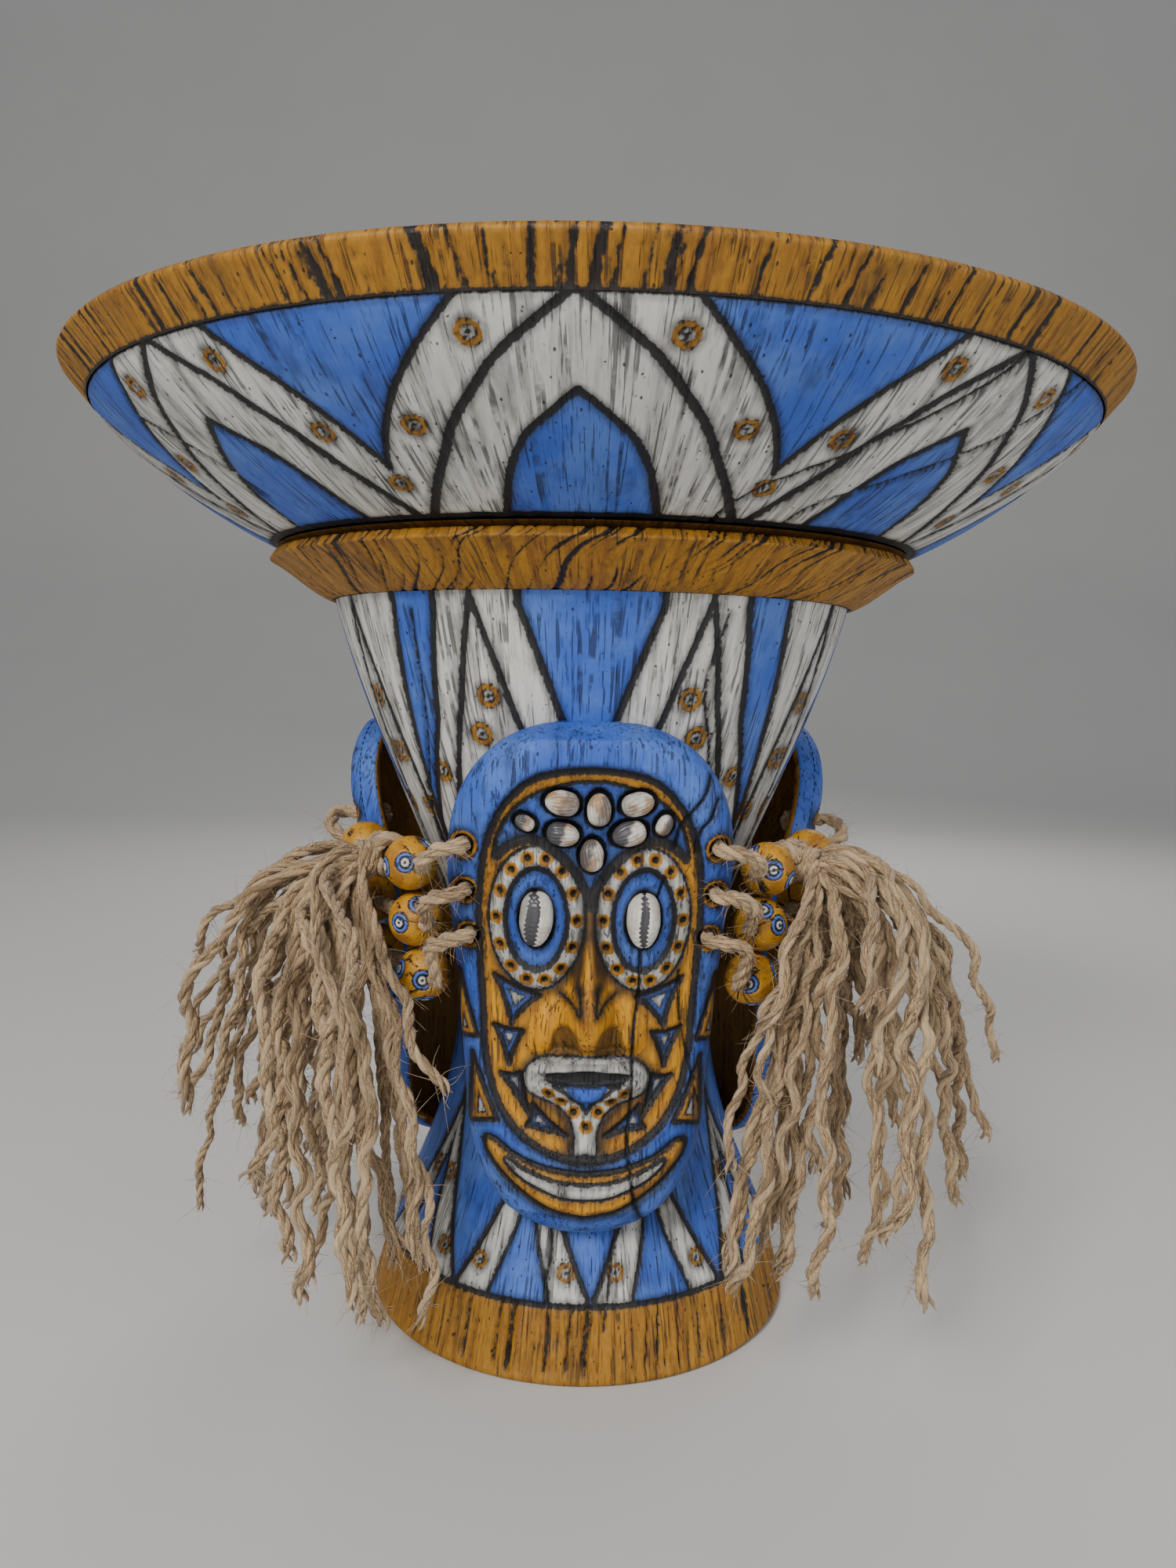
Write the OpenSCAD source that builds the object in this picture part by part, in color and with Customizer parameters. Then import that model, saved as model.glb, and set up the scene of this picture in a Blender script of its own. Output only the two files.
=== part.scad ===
// Painted pedestal dish ringed by three carved face masks.
// The masks are laced to each other round the waist with jute cord, painted beads and jute tassels.
// Millimetres, +Z up, origin at the centre of the foot's underside, front mask facing -Y.

/* [Pedestal] */
// Radius of the foot where it stands
foot_r = 83; // [75:0.5:100]
// Radius at the top of the foot band
foot_band_r = 76.5; // [70:0.5:95]
// Height of the foot band
foot_band_h = 26; // [15:1:35]
// Radius of the waist
waist_r = 50; // [40:1:60]
// Height of the waist's narrowest point
waist_z = 125; // [110:1:135]
// Radius at the top of the neck
neck_r = 99; // [85:1:115]
// Height of the top of the neck
neck_z = 273; // [245:1:320]
// Depth of the hollow turned under the foot
foot_hollow_d = 4; // [1:0.5:10]
// Width of the ring that the foot stands on
foot_ring_w = 18; // [10:1:30]

/* [Collar] */
// Largest radius of the collar
collar_r = 123; // [110:1:150]
// Height of the collar
collar_h = 17; // [12:1:25]
// Radius of the turned tenon that holds the dish
tenon_r = 40; // [20:1:60]
// Length of the tenon
tenon_h = 11; // [5:0.5:13]

/* [Dish] */
// Radius of the rim at its top edge
rim_r = 192; // [180:1:235]
// How much wider the rim band is at its top than at its bottom
rim_lean = 9; // [4:0.5:14]
// Height of the rim band
rim_band_h = 13; // [8:0.5:20]
// Width of the rim's flat top
rim_w = 11; // [6:0.5:16]
// Height of the dish from the collar to the rim
dish_h = 60; // [50:1:80]
// Radius of the dish where it meets the collar
dish_base_r = 120; // [105:1:145]
// Thickness of the dish's floor
dish_floor_t = 18; // [14:0.5:24]
// Radius of the dish's flat floor
dish_floor_r = 95; // [70:1:105]

/* [Masks] */
// Number of masks round the waist
mask_count = 3; // [3:1:3]
// Height of a mask's crown
mask_top_z = 232; // [222:1:240]
// Height where a mask is widest
mask_shoulder_z = 178; // [170:1:190]
// Half of a mask's width at its widest
mask_shoulder_w = 49; // [40:0.5:50]
// Height where a mask's jaw starts to round
mask_jaw_z = 100; // [90:1:110]
// Half of a mask's width at the jaw
mask_jaw_w = 42; // [34:0.5:44]
// Height of a mask's chin
mask_chin_z = 49; // [42:1:60]
// Distance of a mask's brow from the pedestal's axis
brow_out = 97; // [94:0.5:104]
// Distance of a mask's cheeks from the pedestal's axis
cheek_out = 79; // [74:0.5:86]
// Distance of a mask's chin from the pedestal's axis
chin_out = 81; // [78:0.5:88]
// Radius of a mask's curve from side to side
mask_bow_r = 110; // [90:1:150]
// Depth of a mask from front to back edge
mask_depth = 15; // [10:0.5:20]
// Thickness of a mask's face
mask_face_t = 7; // [5:0.5:9]
// Thickness of a mask's side wall
mask_side_t = 3.5; // [2:0.5:5]
// How far the nose stands out
nose_out = 13; // [6:0.5:16]
// How far the lips stand out
lip_out = 6; // [2:0.5:8]

/* [Shells] */
// Length of an eye's cowrie shell
cowrie_l = 19.2; // [12:0.2:20]
// Radius of an eye's cowrie shell
cowrie_r = 5.7; // [4:0.1:7]
// Half of the distance between the eyes
eye_x = 18; // [15:0.5:19]
// Height of the eyes
eye_z = 165; // [158:1:170]
// Length of a forehead shell
brow_shell_l = 11.5; // [7:0.5:12]
// Radius of a forehead shell
brow_shell_r = 3.9; // [2.5:0.1:4.2]

/* [Lacing] */
// Radius of the jute cord
cord_r = 2.9; // [2:0.1:3.2]
// Radius of a lacing hole in a mask
lace_hole_r = 3.4; // [3.2:0.1:4]
// Distance of a lacing hole's centre from the mask's edge
lace_hole_inset = 6.4; // [6:0.1:9]
// Radius of a bead
bead_r = 9.5; // [7:0.25:9.6]
// Distance of a bead's centre from the middle of its cord
bead_t = 22; // [18:0.5:24]
// Running clearance round the cord in beads and tassel heads
spin_gap = 0.06; // [0.02:0.01:0.1]

/* [Tassels] */
// Half of the width of a tassel at its head
tassel_head_w = 8; // [5:0.5:9]
// Radius of a tassel's head
tassel_head_r = 8; // [6:0.5:9]
// Distance from the pedestal's axis to a tassel's outer side
tassel_out = 150; // [130:1:155]
// Height of a tassel's lowest strands
tassel_bottom_z = 26; // [10:1:40]

/* [Hidden] */
$fn = 72;
seat_gap = 0.15;       // between pieces that are seated on each other
tenon_gap = 0.15;      // round the tenon in its socket
edge = 2;              // small chamfer on turned edges
far = 400;             // longer than any cut
steps = 7;             // straight pieces in each curved stretch of an outline
turn = 360 / mask_count;
crown_fullness = 0.8;  // 1 is an ellipse, and less is squarer
dish_z = neck_z + collar_h;
rim_z = dish_z + dish_h;
rim_band_r = rim_r - rim_lean;
bow_y = mask_bow_r - cheek_out;              // the masks' curve is centred this far behind the axis
lace_z = [190, 174, 158];                    // heights of the lacing holes
bead_z = [180, 160, 140];                    // heights of the bead rows
bead_out = [85, 83, 80];                     // distances of the bead rows from the axis
straight_half = bead_t + bead_r + 1;         // half of a cord's straight run
sides = ["left", "back", "right"];           // the three gaps between masks
SIDE_TURN = [-0.5, 1.5, 0.5];                // each gap's middle, in turns from the front mask
MASK_TURN = [0, -1, 1];                      // front, left and right mask, in the same turns

// A cubic curve through four control points, as a list of points.
function curve(a, b, c, d) = [
    for (i = [0 : steps]) let (t = i / steps, s = 1 - t)
        s * s * s * a + 3 * s * s * t * b + 3 * s * t * t * c + t * t * t * d
];

// ---- pedestal and dish: turned profiles as [radius, height] ----

function foot_curve() = curve(
    [foot_band_r, foot_band_h], [foot_band_r - 10, foot_band_h + 27],
    [waist_r, waist_z - 50], [waist_r, waist_z]);
function neck_curve() = curve(
    [waist_r, waist_z], [waist_r, waist_z + 38], [neck_r - 15, neck_z - 60], [neck_r, neck_z]);
function collar_curve() = curve(
    [neck_r + edge, neck_z], [neck_r + 10, neck_z + 3],
    [collar_r - 8, dish_z - 7], [collar_r, dish_z - 3]);

function pedestal_side() = concat(
    [[foot_r - edge, 0], [foot_r, edge]], foot_curve(), neck_curve(), collar_curve(),
    [[collar_r - edge, dish_z]]);

module pedestal() color("goldenrod") {
    difference() {
        rotate_extrude() polygon(concat([[0, 0]], pedestal_side(), [[0, dish_z]]));
        translate([0, 0, -1]) cylinder(r = foot_r - foot_ring_w, h = foot_hollow_d + 1);
    }
    translate([0, 0, dish_z - 1]) cylinder(r = tenon_r, h = tenon_h + 1);
}

// The pedestal's side grown by a gap: what seats against the pedestal is cut with it.
module pedestal_space(gap) {
    rotate_extrude() polygon(concat(
        [[0, -1]], [for (p = pedestal_side()) [p[0] + gap, p[1]]], [[0, dish_z + 1]]));
}

function dish_outside() = curve(
    [dish_base_r, dish_z + edge], [dish_base_r + 29, dish_z + edge + 13],
    [rim_band_r - 9, rim_z - rim_band_h - 12], [rim_band_r, rim_z - rim_band_h]);
function dish_inside() = curve(
    [rim_r - rim_w, rim_z], [rim_r - rim_w - 11, rim_z - 25],
    [dish_floor_r + 45, dish_z + dish_floor_t], [dish_floor_r, dish_z + dish_floor_t]);

module dish() color("royalblue") difference() {
    rotate_extrude() polygon(concat(
        [[0, dish_z], [dish_base_r - edge, dish_z]], dish_outside(),
        [[rim_r, rim_z - edge], [rim_r - edge, rim_z]], dish_inside(),
        [[0, dish_z + dish_floor_t]]));
    translate([0, 0, dish_z - 1]) cylinder(r = tenon_r + tenon_gap, h = tenon_h + 1 + tenon_gap);
}

// ---- masks: the front one faces -Y, and the others are turned round the axis ----

// Half of the mask's width between jaw and shoulder, and just above the shoulder.
function mask_w(z) = mask_jaw_w
    + (mask_shoulder_w - mask_jaw_w) * min(1, (z - mask_jaw_z) / (mask_shoulder_z - mask_jaw_z));

// One side of the outline, from chin to crown, as [half width, height].
function mask_half(inset) =
    let (low = mask_jaw_z - mask_chin_z - inset, high = mask_top_z - mask_shoulder_z - inset) concat(
    [for (i = [0 : 2 * steps]) let (a = -90 + 90 * i / (2 * steps))
        [(mask_jaw_w - inset) * cos(a), mask_jaw_z + low * sin(a)]],
    [for (i = [0 : 2 * steps]) let (a = 90 * i / (2 * steps))
        [(mask_shoulder_w - inset) * pow(cos(a), crown_fullness),
         mask_shoulder_z + high * pow(sin(a), crown_fullness)]]);

module outline_prism(half) {
    rotate([90, 0, 0]) linear_extrude(height = far) polygon(concat(
        half, [for (i = [len(half) - 2 : -1 : 1]) [-half[i][0], half[i][1]]]));
}

// The mask's middle line, from chin to crown, as [height, distance from the axis].
ridge = concat(
    [[mask_chin_z, chin_out - 8]],
    curve([mask_chin_z + 13, chin_out], [mask_chin_z + 28, chin_out + 1],
          [mask_jaw_z - 5, cheek_out], [mask_jaw_z + 15, cheek_out]),
    curve([mask_jaw_z + 16, cheek_out], [mask_shoulder_z - 5, cheek_out - 1],
          [mask_shoulder_z + 10, brow_out], [mask_top_z - 6, brow_out]),
    [[mask_top_z, brow_out - 6]]);

// Depth of the mask's front at a place on its face, where the front is -Y.
function face_y(x, z) = bow_y - sqrt(pow(lookup(z, ridge) + bow_y, 2) - x * x);

// A curved plate that follows the ridge, between two distances in front of it.
module ridge_plate(inner, outer) {
    translate([0, bow_y, 0]) rotate_extrude() polygon(concat(
        [for (p = ridge) [p[1] + bow_y + outer, p[0]]],
        [for (i = [len(ridge) - 1 : -1 : 0]) [ridge[i][1] + bow_y + inner, ridge[i][0]]]));
}

// The nose and the lips stand out of the face as [height, how far out].
nose_line = [[122, -2], [127, 0.6 * nose_out], [134, nose_out], [172, 2], [176, -2]];
lip_line = [[97, -2], [101, lip_out], [114, lip_out + 1], [119, -2]];

module raised(line, half) intersection() {
    translate([0, bow_y, 0]) rotate_extrude() polygon(concat(
        [for (p = line) [lookup(p[0], ridge) + bow_y + p[1], p[0]]],
        [for (i = [len(line) - 1 : -1 : 0]) [lookup(line[i][0], ridge) + bow_y - 3, line[i][0]]]));
    outline_prism(half);
}

module mask() color("cornflowerblue") difference() {
    union() {
        intersection() {
            ridge_plate(-mask_depth, 0);
            outline_prism(mask_half(0));
        }
        raised(nose_line, [[0, 121], [12, 123], [13, 130], [9, 140], [3, 155], [4.5, 176], [0, 177]]);
        raised(lip_line, [[0, 97], [13, 97], [20, 105], [20, 113], [13, 119], [0, 119]]);
    }
    intersection() {
        ridge_plate(-mask_depth - 5, -mask_face_t);
        outline_prism(mask_half(mask_side_t));
    }
    pedestal_space(seat_gap);
    for (side = [-1, 1]) {
        for (z = lace_z) translate([side * (mask_w(z) - lace_hole_inset), 0, z])
            rotate([90, 0, 0]) cylinder(r = lace_hole_r, h = far, $fn = 24);
        eye_place(side) shell_seat(cowrie_l, cowrie_r);
    }
    for (spot = brow_spots) brow_place(spot) shell_seat(brow_shell_l, brow_shell_r);
}

// ---- shells: eggs that lie in round-bottomed seats cut into the face ----

// A shell's outline as [radius, place along the shell], both as shares of its size.
shell_shape = [[0, -0.5], [0.62, -0.43], [0.95, -0.22], [1, 0.02], [0.78, 0.3], [0.4, 0.46], [0, 0.5]];

module shell(length, radius)
    rotate_extrude($fn = 32) polygon([for (p = shell_shape) [radius * p[0], length * p[1]]]);
module shell_seat(length, radius)
    cylinder(r = radius + seat_gap, h = length + 2 * seat_gap, center = true, $fn = 32);

module eye_place(side)
    translate([side * eye_x, face_y(eye_x, eye_z) + 0.25 * cowrie_r, eye_z]) children();

module eye_shells() color("whitesmoke")
    for (side = [-1, 1]) eye_place(side) rotate([180, 0, 0]) shell(cowrie_l, cowrie_r);

// Forehead shells as [across, height, turn of the narrow end from straight up].
brow_spots = [
    [-22, 198.5, -60], [-10, 205.5, -80], [2, 203.5, 0], [14.5, 205.5, 75],
    [23.5, 198.5, 25], [-9.5, 195, 100], [12, 195.5, -105], [0, 188, 0]];

module brow_place(spot)
    translate([spot[0], face_y(spot[0], spot[1]) + 0.3 * brow_shell_r, spot[1]])
        rotate([0, spot[2], 0]) children();

module brow_shells() color("lightgray")
    for (spot = brow_spots) brow_place(spot) shell(brow_shell_l, brow_shell_r);

module on_mask(i) rotate([0, 0, MASK_TURN[i] * turn]) children();

// ---- lacing: each gap's own frame has +X out from the axis and +Y along the bead rows ----

module in_gap(side) rotate([0, 0, -90 + SIDE_TURN[side] * turn]) children();

// Half of a cord's route in its gap, from the middle to the knot behind a mask, as [out, along, up].
// The offsets from the bead row and from the lacing hole are chosen by hand.
function hole_in_gap(row) =
    let (x = mask_w(lace_z[row]) - lace_hole_inset, y = face_y(x, lace_z[row]), a = turn / 2)
    [x * sin(a) - y * cos(a), -x * cos(a) - y * sin(a), lace_z[row]];
function from_hole(row, forward, aside, up) =
    let (h = hole_in_gap(row), a = turn / 2)
    [h[0] + forward * cos(a) + aside * sin(a), h[1] + forward * sin(a) - aside * cos(a), h[2] + up];
function half_route(row) = [
    [bead_out[row], straight_half - 0.5, bead_z[row]],
    [bead_out[row], straight_half + 1, bead_z[row]],
    from_hole(row, 0.5, 13.5, -5.5),
    from_hole(row, 4.5, 9, -2),
    from_hole(row, 6.2, 4.5, -0.5),
    from_hole(row, 5.2, 1.2, 0),
    from_hole(row, 2, 0, 0),
    from_hole(row, -7.5, 0, 0)];

// The knot behind the mask as [distance behind the hole's mouth, distance aside from the hole,
// radius as a share of the cord's].
knot_shape = [[9.5, 1.2, 1.05], [10.5, 2, 1.45], [13, 2.8, 1.65], [15.5, 2.8, 1.45], [16.5, 2.8, 0.7]];

// A smooth line through a route's points after its first one.
function spline_point(p, i, t) =
    let (a = p[max(i - 1, 0)], b = p[i], c = p[i + 1], d = p[min(i + 2, len(p) - 1)])
    0.5 * (2 * b + (c - a) * t + (2 * a - 5 * b + 4 * c - d) * t * t
        + (3 * b - a - 3 * c + d) * t * t * t);
function smooth_route(p) = concat([p[0]],
    [for (i = [1 : len(p) - 2], k = [0 : 1]) spline_point(p, i, k / 2)], [p[len(p) - 1]]);

// A tube along a line of points with a radius for each, its frame carried from ring to ring.
function unit(v) = v / norm(v);
function heading(p, i) = unit(p[min(i + 1, len(p) - 1)] - p[max(i - 1, 0)]);
function carried(p, i = 0, side = [0, 0, 1]) =
    let (h = heading(p, i), s = unit(side - (side * h) * h))
    i == len(p) - 1 ? [s] : concat([s], carried(p, i + 1, s));
module tube(p, radii, n) {
    side = carried(p);
    rings = [for (i = [0 : len(p) - 1], k = [0 : n - 1])
        let (u = cross(heading(p, i), side[i]), a = 360 * k / n)
        p[i] + radii[i] * (cos(a) * side[i] + sin(a) * u)];
    last = (len(p) - 1) * n;
    polyhedron(rings, concat(
        [[for (k = [0 : n - 1]) k]],
        [[for (k = [n - 1 : -1 : 0]) last + k]],
        [for (i = [0 : len(p) - 2], k = [0 : n - 1]) let (m = (k + 1) % n)
            [i * n + k, (i + 1) * n + k, (i + 1) * n + m, i * n + m]]));
}

// One half of a cord beyond its straight run: round the mask's edge, in through the hole, the knot.
module cord_end(row) {
    line = smooth_route(half_route(row));
    tube(
        concat(line, [for (k = knot_shape) from_hole(row, -k[0], -k[1], 0)]),
        concat([0.8 * cord_r], [for (i = [1 : len(line) - 1]) cord_r],
            [for (k = knot_shape) cord_r * k[2]]),
        10);
}

module cord(side, row) color("tan") in_gap(side) {
    translate([bead_out[row], 0, bead_z[row]]) rotate([90, 0, 0])
        cylinder(r = cord_r, h = 2 * straight_half, center = true);
    cord_end(row);
    mirror([0, 1, 0]) cord_end(row);
}

module bead(side, row, end) color("orange") in_gap(side)
    translate([bead_out[row], end * bead_t, bead_z[row]]) rotate([90, 0, 0]) difference() {
        sphere(r = bead_r);
        cylinder(r = cord_r + spin_gap, h = 3 * bead_r, center = true);
    }

// ---- tassels: a head that hangs on the upper cord, and the outer shape of its hanging strands ----

// Cross-sections of the strands as [half width, out inside, out outside, height].
tassel_in = bead_out[0] + bead_r + 1.5;
tassel_sections = [
    [tassel_head_w - 1, tassel_in, tassel_in + 5, bead_z[0] + 4],
    [26, tassel_in, tassel_out - 20, bead_z[0] - 12],
    [40, tassel_in, tassel_out - 4, bead_z[2] - 18],
    [50, max(tassel_in, foot_r + 10), tassel_out, 90],
    [50, max(tassel_in, foot_r + 8), tassel_out - 12, tassel_bottom_z + 18],
    [36, max(tassel_in, foot_r + 10), tassel_out - 22, tassel_bottom_z]];

module tassel_slab(s)
    translate([s[1], -s[0], s[3]]) cube([s[2] - s[1], 2 * s[0], 0.5]);

module tassel(side) color("burlywood") in_gap(side) difference() {
    union() {
        for (i = [0 : len(tassel_sections) - 2]) hull() {
            tassel_slab(tassel_sections[i]);
            tassel_slab(tassel_sections[i + 1]);
        }
        translate([bead_out[0], 0, bead_z[0]]) rotate([90, 0, 0])
            cylinder(r = tassel_head_r, h = 2 * tassel_head_w, center = true);
        translate([bead_out[0] + 2, -tassel_head_w + 1, bead_z[0] - 5])
            cube([bead_r + 3, 2 * tassel_head_w - 2, 10]);
    }
    translate([bead_out[0], 0, bead_z[0]]) rotate([90, 0, 0])
        cylinder(r = cord_r + spin_gap, h = far, center = true);
}

// ---- one line for each node ----

pedestal();
dish();
for (i = [0 : 2]) on_mask(i) {
    where = ["front", "left", "right"][i];
    mask();
    eye_shells();
    brow_shells();
}
for (side = [0 : 2]) {
    tassel(side);
    for (row = [0 : 2]) {
        name = str(sides[side], "_", ["upper", "middle", "lower"][row]);
        cord(side, row);
        bead(side, row, -1);
        bead(side, row, 1);
    }
}
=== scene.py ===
"""Looks of the painted pedestal dish with laced masks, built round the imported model.

Lengths are in millimetres until a mesh is made. Angles go round the axis from the front (-Y) towards +X.
Each painted piece carries distances to its white, ochre and black areas as mesh attributes, in millimetres,
and its material turns them into paint.
"""
import math
import bpy
import numpy as np
from mathutils import Matrix, Vector


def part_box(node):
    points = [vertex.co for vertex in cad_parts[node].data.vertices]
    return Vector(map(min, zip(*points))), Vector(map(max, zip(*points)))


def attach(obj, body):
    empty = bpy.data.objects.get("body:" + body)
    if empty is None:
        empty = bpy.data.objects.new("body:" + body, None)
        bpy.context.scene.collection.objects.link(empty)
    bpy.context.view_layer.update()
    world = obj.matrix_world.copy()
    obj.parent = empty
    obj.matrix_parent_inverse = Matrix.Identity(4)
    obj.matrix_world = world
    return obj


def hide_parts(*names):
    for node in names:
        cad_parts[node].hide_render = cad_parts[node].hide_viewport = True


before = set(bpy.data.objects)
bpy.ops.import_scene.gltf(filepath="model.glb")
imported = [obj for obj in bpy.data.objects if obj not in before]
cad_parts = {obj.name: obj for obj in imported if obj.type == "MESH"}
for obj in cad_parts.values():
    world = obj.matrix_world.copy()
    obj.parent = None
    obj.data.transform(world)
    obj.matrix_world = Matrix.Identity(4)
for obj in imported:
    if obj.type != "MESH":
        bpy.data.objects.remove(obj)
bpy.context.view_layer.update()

MM = 0.001
TURN = 2 * math.pi
SIDES = ("left", "back", "right")
ROWS = ("upper", "middle", "lower")
SIDE_ANGLE = {"left": -60.0, "back": 180.0, "right": 60.0}
MASK_TO_GAP = 60.0
MASK_ANGLE = {"front": 0.0, "left": -120.0, "right": 120.0}
LIGHTS_AIM = (0, 0, 0.18)


def box_mm(node):
    """Lowest and highest corner of a CAD node, in millimetres."""
    return [np.round(np.array(corner) / MM, 2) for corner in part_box(node)]


# ---------------------------------------------------------------- camera, lights and floor

def turn_about(axis, degrees):
    return Matrix.Rotation(math.radians(degrees), 3, axis)


def add_camera(distance, height, azimuth, tilt, roll, lens):
    """A camera in front of the object: azimuth to its left, tilt below the horizon, all in degrees."""
    data = bpy.data.cameras.new("camera")
    data.sensor_fit = "VERTICAL"
    data.sensor_height = 36.0
    data.lens = lens
    data.clip_start = 0.01
    camera = bpy.data.objects.new("camera", data)
    bpy.context.scene.collection.objects.link(camera)
    a = math.radians(azimuth)
    camera.rotation_mode = "XYZ"
    camera.location = (-distance * math.sin(a) * MM, -distance * math.cos(a) * MM, height * MM)
    turn = turn_about("Z", -azimuth) @ turn_about("X", 90.0 - tilt) @ turn_about("Z", roll)
    camera.rotation_euler = turn.to_euler("XYZ")
    bpy.context.scene.camera = camera


def add_light(name, place, size, power, colour):
    """A square area light that faces the middle of the object."""
    data = bpy.data.lights.new(name, "AREA")
    data.size = size
    data.energy = power
    data.color = colour
    light = bpy.data.objects.new(name, data)
    light.location = place
    light.rotation_euler = (Vector(LIGHTS_AIM) - Vector(place)).to_track_quat("-Z", "Y").to_euler()
    bpy.context.scene.collection.objects.link(light)


add_camera(distance=470.0, height=246.0, azimuth=1.1, tilt=5.2, roll=1.15, lens=27.0)
add_light("key", (-0.55, -1.15, 1.05), 0.5, 19.0, (1.0, 0.97, 0.93))
add_light("fill", (1.1, -0.9, 0.55), 1.0, 5.0, (0.94, 0.96, 1.0))
add_light("back", (0.3, 1.2, 1.0), 0.9, 7.0, (1.0, 0.98, 0.95))
add_light("low", (-0.2, -1.3, 0.10), 0.8, 3.5, (1.0, 0.96, 0.9))


# ---------------------------------------------------------------- small maths

def smoothstep(low, high, x):
    t = np.clip((x - low) / (high - low), 0.0, 1.0)
    return t * t * (3.0 - 2.0 * t)


def bezier(a, b, c, d, count):
    """Points on a cubic curve."""
    t = np.linspace(0.0, 1.0, count)[:, None]
    s = 1.0 - t
    a, b, c, d = (np.asarray(p, float) for p in (a, b, c, d))
    return s ** 3 * a + 3 * s * s * t * b + 3 * s * t * t * c + t ** 3 * d


def spline(points, closed=False, per=8):
    """A smooth line through a few points."""
    p = np.asarray(points, float)
    if closed:
        p = np.vstack([p[-1:], p, p[:2]])
    else:
        p = np.vstack([2 * p[:1] - p[1:2], p, 2 * p[-1:] - p[-2:-1]])
    out = []
    for i in range(1, len(p) - 2):
        a, b, c, d = p[i - 1:i + 3]
        for t in np.arange(per) / per:
            out.append(0.5 * (2 * b + (c - a) * t + (2 * a - 5 * b + 4 * c - d) * t ** 2
                              + (3 * b - a - 3 * c + d) * t ** 3))
    out.append(p[-2])
    return np.array(out)


def mirrored(half):
    """A closed outline from its right half, given from the top of the middle line to its bottom."""
    half = np.asarray(half, float)
    return np.vstack([half, (half * [-1, 1])[::-1]])


def distance(x, y, line):
    """Distance from each point to a line of straight pieces."""
    best = np.full(x.shape, 1e9)
    for (ax, ay), (bx, by) in zip(line[:-1], line[1:]):
        dx, dy = bx - ax, by - ay
        size = dx * dx + dy * dy
        if size < 1e-12:
            continue
        t = np.clip(((x - ax) * dx + (y - ay) * dy) / size, 0.0, 1.0)
        np.minimum(best, (x - ax - t * dx) ** 2 + (y - ay - t * dy) ** 2, out=best)
    return np.sqrt(best)


def signed(x, y, outline):
    """Distance to a closed outline, negative inside."""
    line = np.vstack([outline, outline[:1]])
    inside = np.zeros(x.shape, bool)
    for (ax, ay), (bx, by) in zip(line[:-1], line[1:]):
        if ay == by:
            continue
        crosses = (ay > y) != (by > y)
        inside ^= crosses & (x < (bx - ax) * (y - ay) / (by - ay) + ax)
    d = distance(x, y, line)
    return np.where(inside, -d, d)


def ellipse(x, y, cx, cy, rx, ry):
    """Close to the distance to an ellipse, negative inside."""
    k = np.hypot((x - cx) / rx, (y - cy) / ry)
    stretch = 0.5 * (max(rx, ry) / min(rx, ry) - 1)
    return (k - 1.0) * min(rx, ry) * (1 + stretch * ((y - cy) / ry / np.maximum(k, 1e-6)) ** 2)


def lattice(u, v, across, along, seed):
    """Smooth random values that repeat once in u: across cells round and along cells in v from 0 to 1."""
    table = np.random.default_rng(seed).random((across, along + 2))
    x = (u % 1.0) * across
    y = np.clip(v, 0.0, 1.0) * along
    i, j = np.floor(x).astype(int), np.floor(y).astype(int)
    fx, fy = smoothstep(0, 1, x - i), smoothstep(0, 1, y - j)
    i0, i1 = i % across, (i + 1) % across
    low = table[i0, j] * (1 - fx) + table[i1, j] * fx
    high = table[i0, j + 1] * (1 - fx) + table[i1, j + 1] * fx
    return low * (1 - fy) + high * fy


class Paint:
    """Distances to the white, ochre and black areas over a surface, in millimetres, negative inside."""

    def __init__(self, shape):
        far = 30.0
        self.white = np.full(shape, far)
        self.ochre = np.full(shape, far)
        self.black = np.full(shape, far)
        self.shade = np.zeros(shape)

    def blue_over(self, area):
        self.white = np.maximum(self.white, -area)
        self.ochre = np.maximum(self.ochre, -area)

    def white_over(self, area):
        self.white = np.minimum(self.white, area)
        self.ochre = np.maximum(self.ochre, -area)

    def ochre_over(self, area):
        self.ochre = np.minimum(self.ochre, area)

    def black_over(self, area):
        self.black = np.minimum(self.black, area)

    def line(self, gap, width):
        """A black line where gap, the distance from its middle, is under half of width."""
        self.black = np.minimum(self.black, gap - width / 2)

    def ring_dot(self, gap, size):
        """An ochre ring round a white middle with a black dot, with thin black outlines."""
        self.white_over(gap - 0.95 * size)
        self.ochre_over(gap - size)
        self.ochre = np.maximum(self.ochre, 0.5 * size - gap)
        self.line(np.abs(gap - 0.52 * size), 0.16 * size)
        self.line(np.abs(gap - 1.02 * size), 0.1 * size)
        self.black = np.minimum(self.black, gap - 0.22 * size)


# ---------------------------------------------------------------- meshes

def grid_faces(rows, columns, wrap):
    i = np.arange(rows - 1)[:, None]
    j = np.arange(columns if wrap else columns - 1)[None, :]
    k = (j + 1) % columns
    return np.stack(np.broadcast_arrays(i * columns + j, i * columns + k,
                                        (i + 1) * columns + k, (i + 1) * columns + j), -1).reshape(-1, 4)


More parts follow.
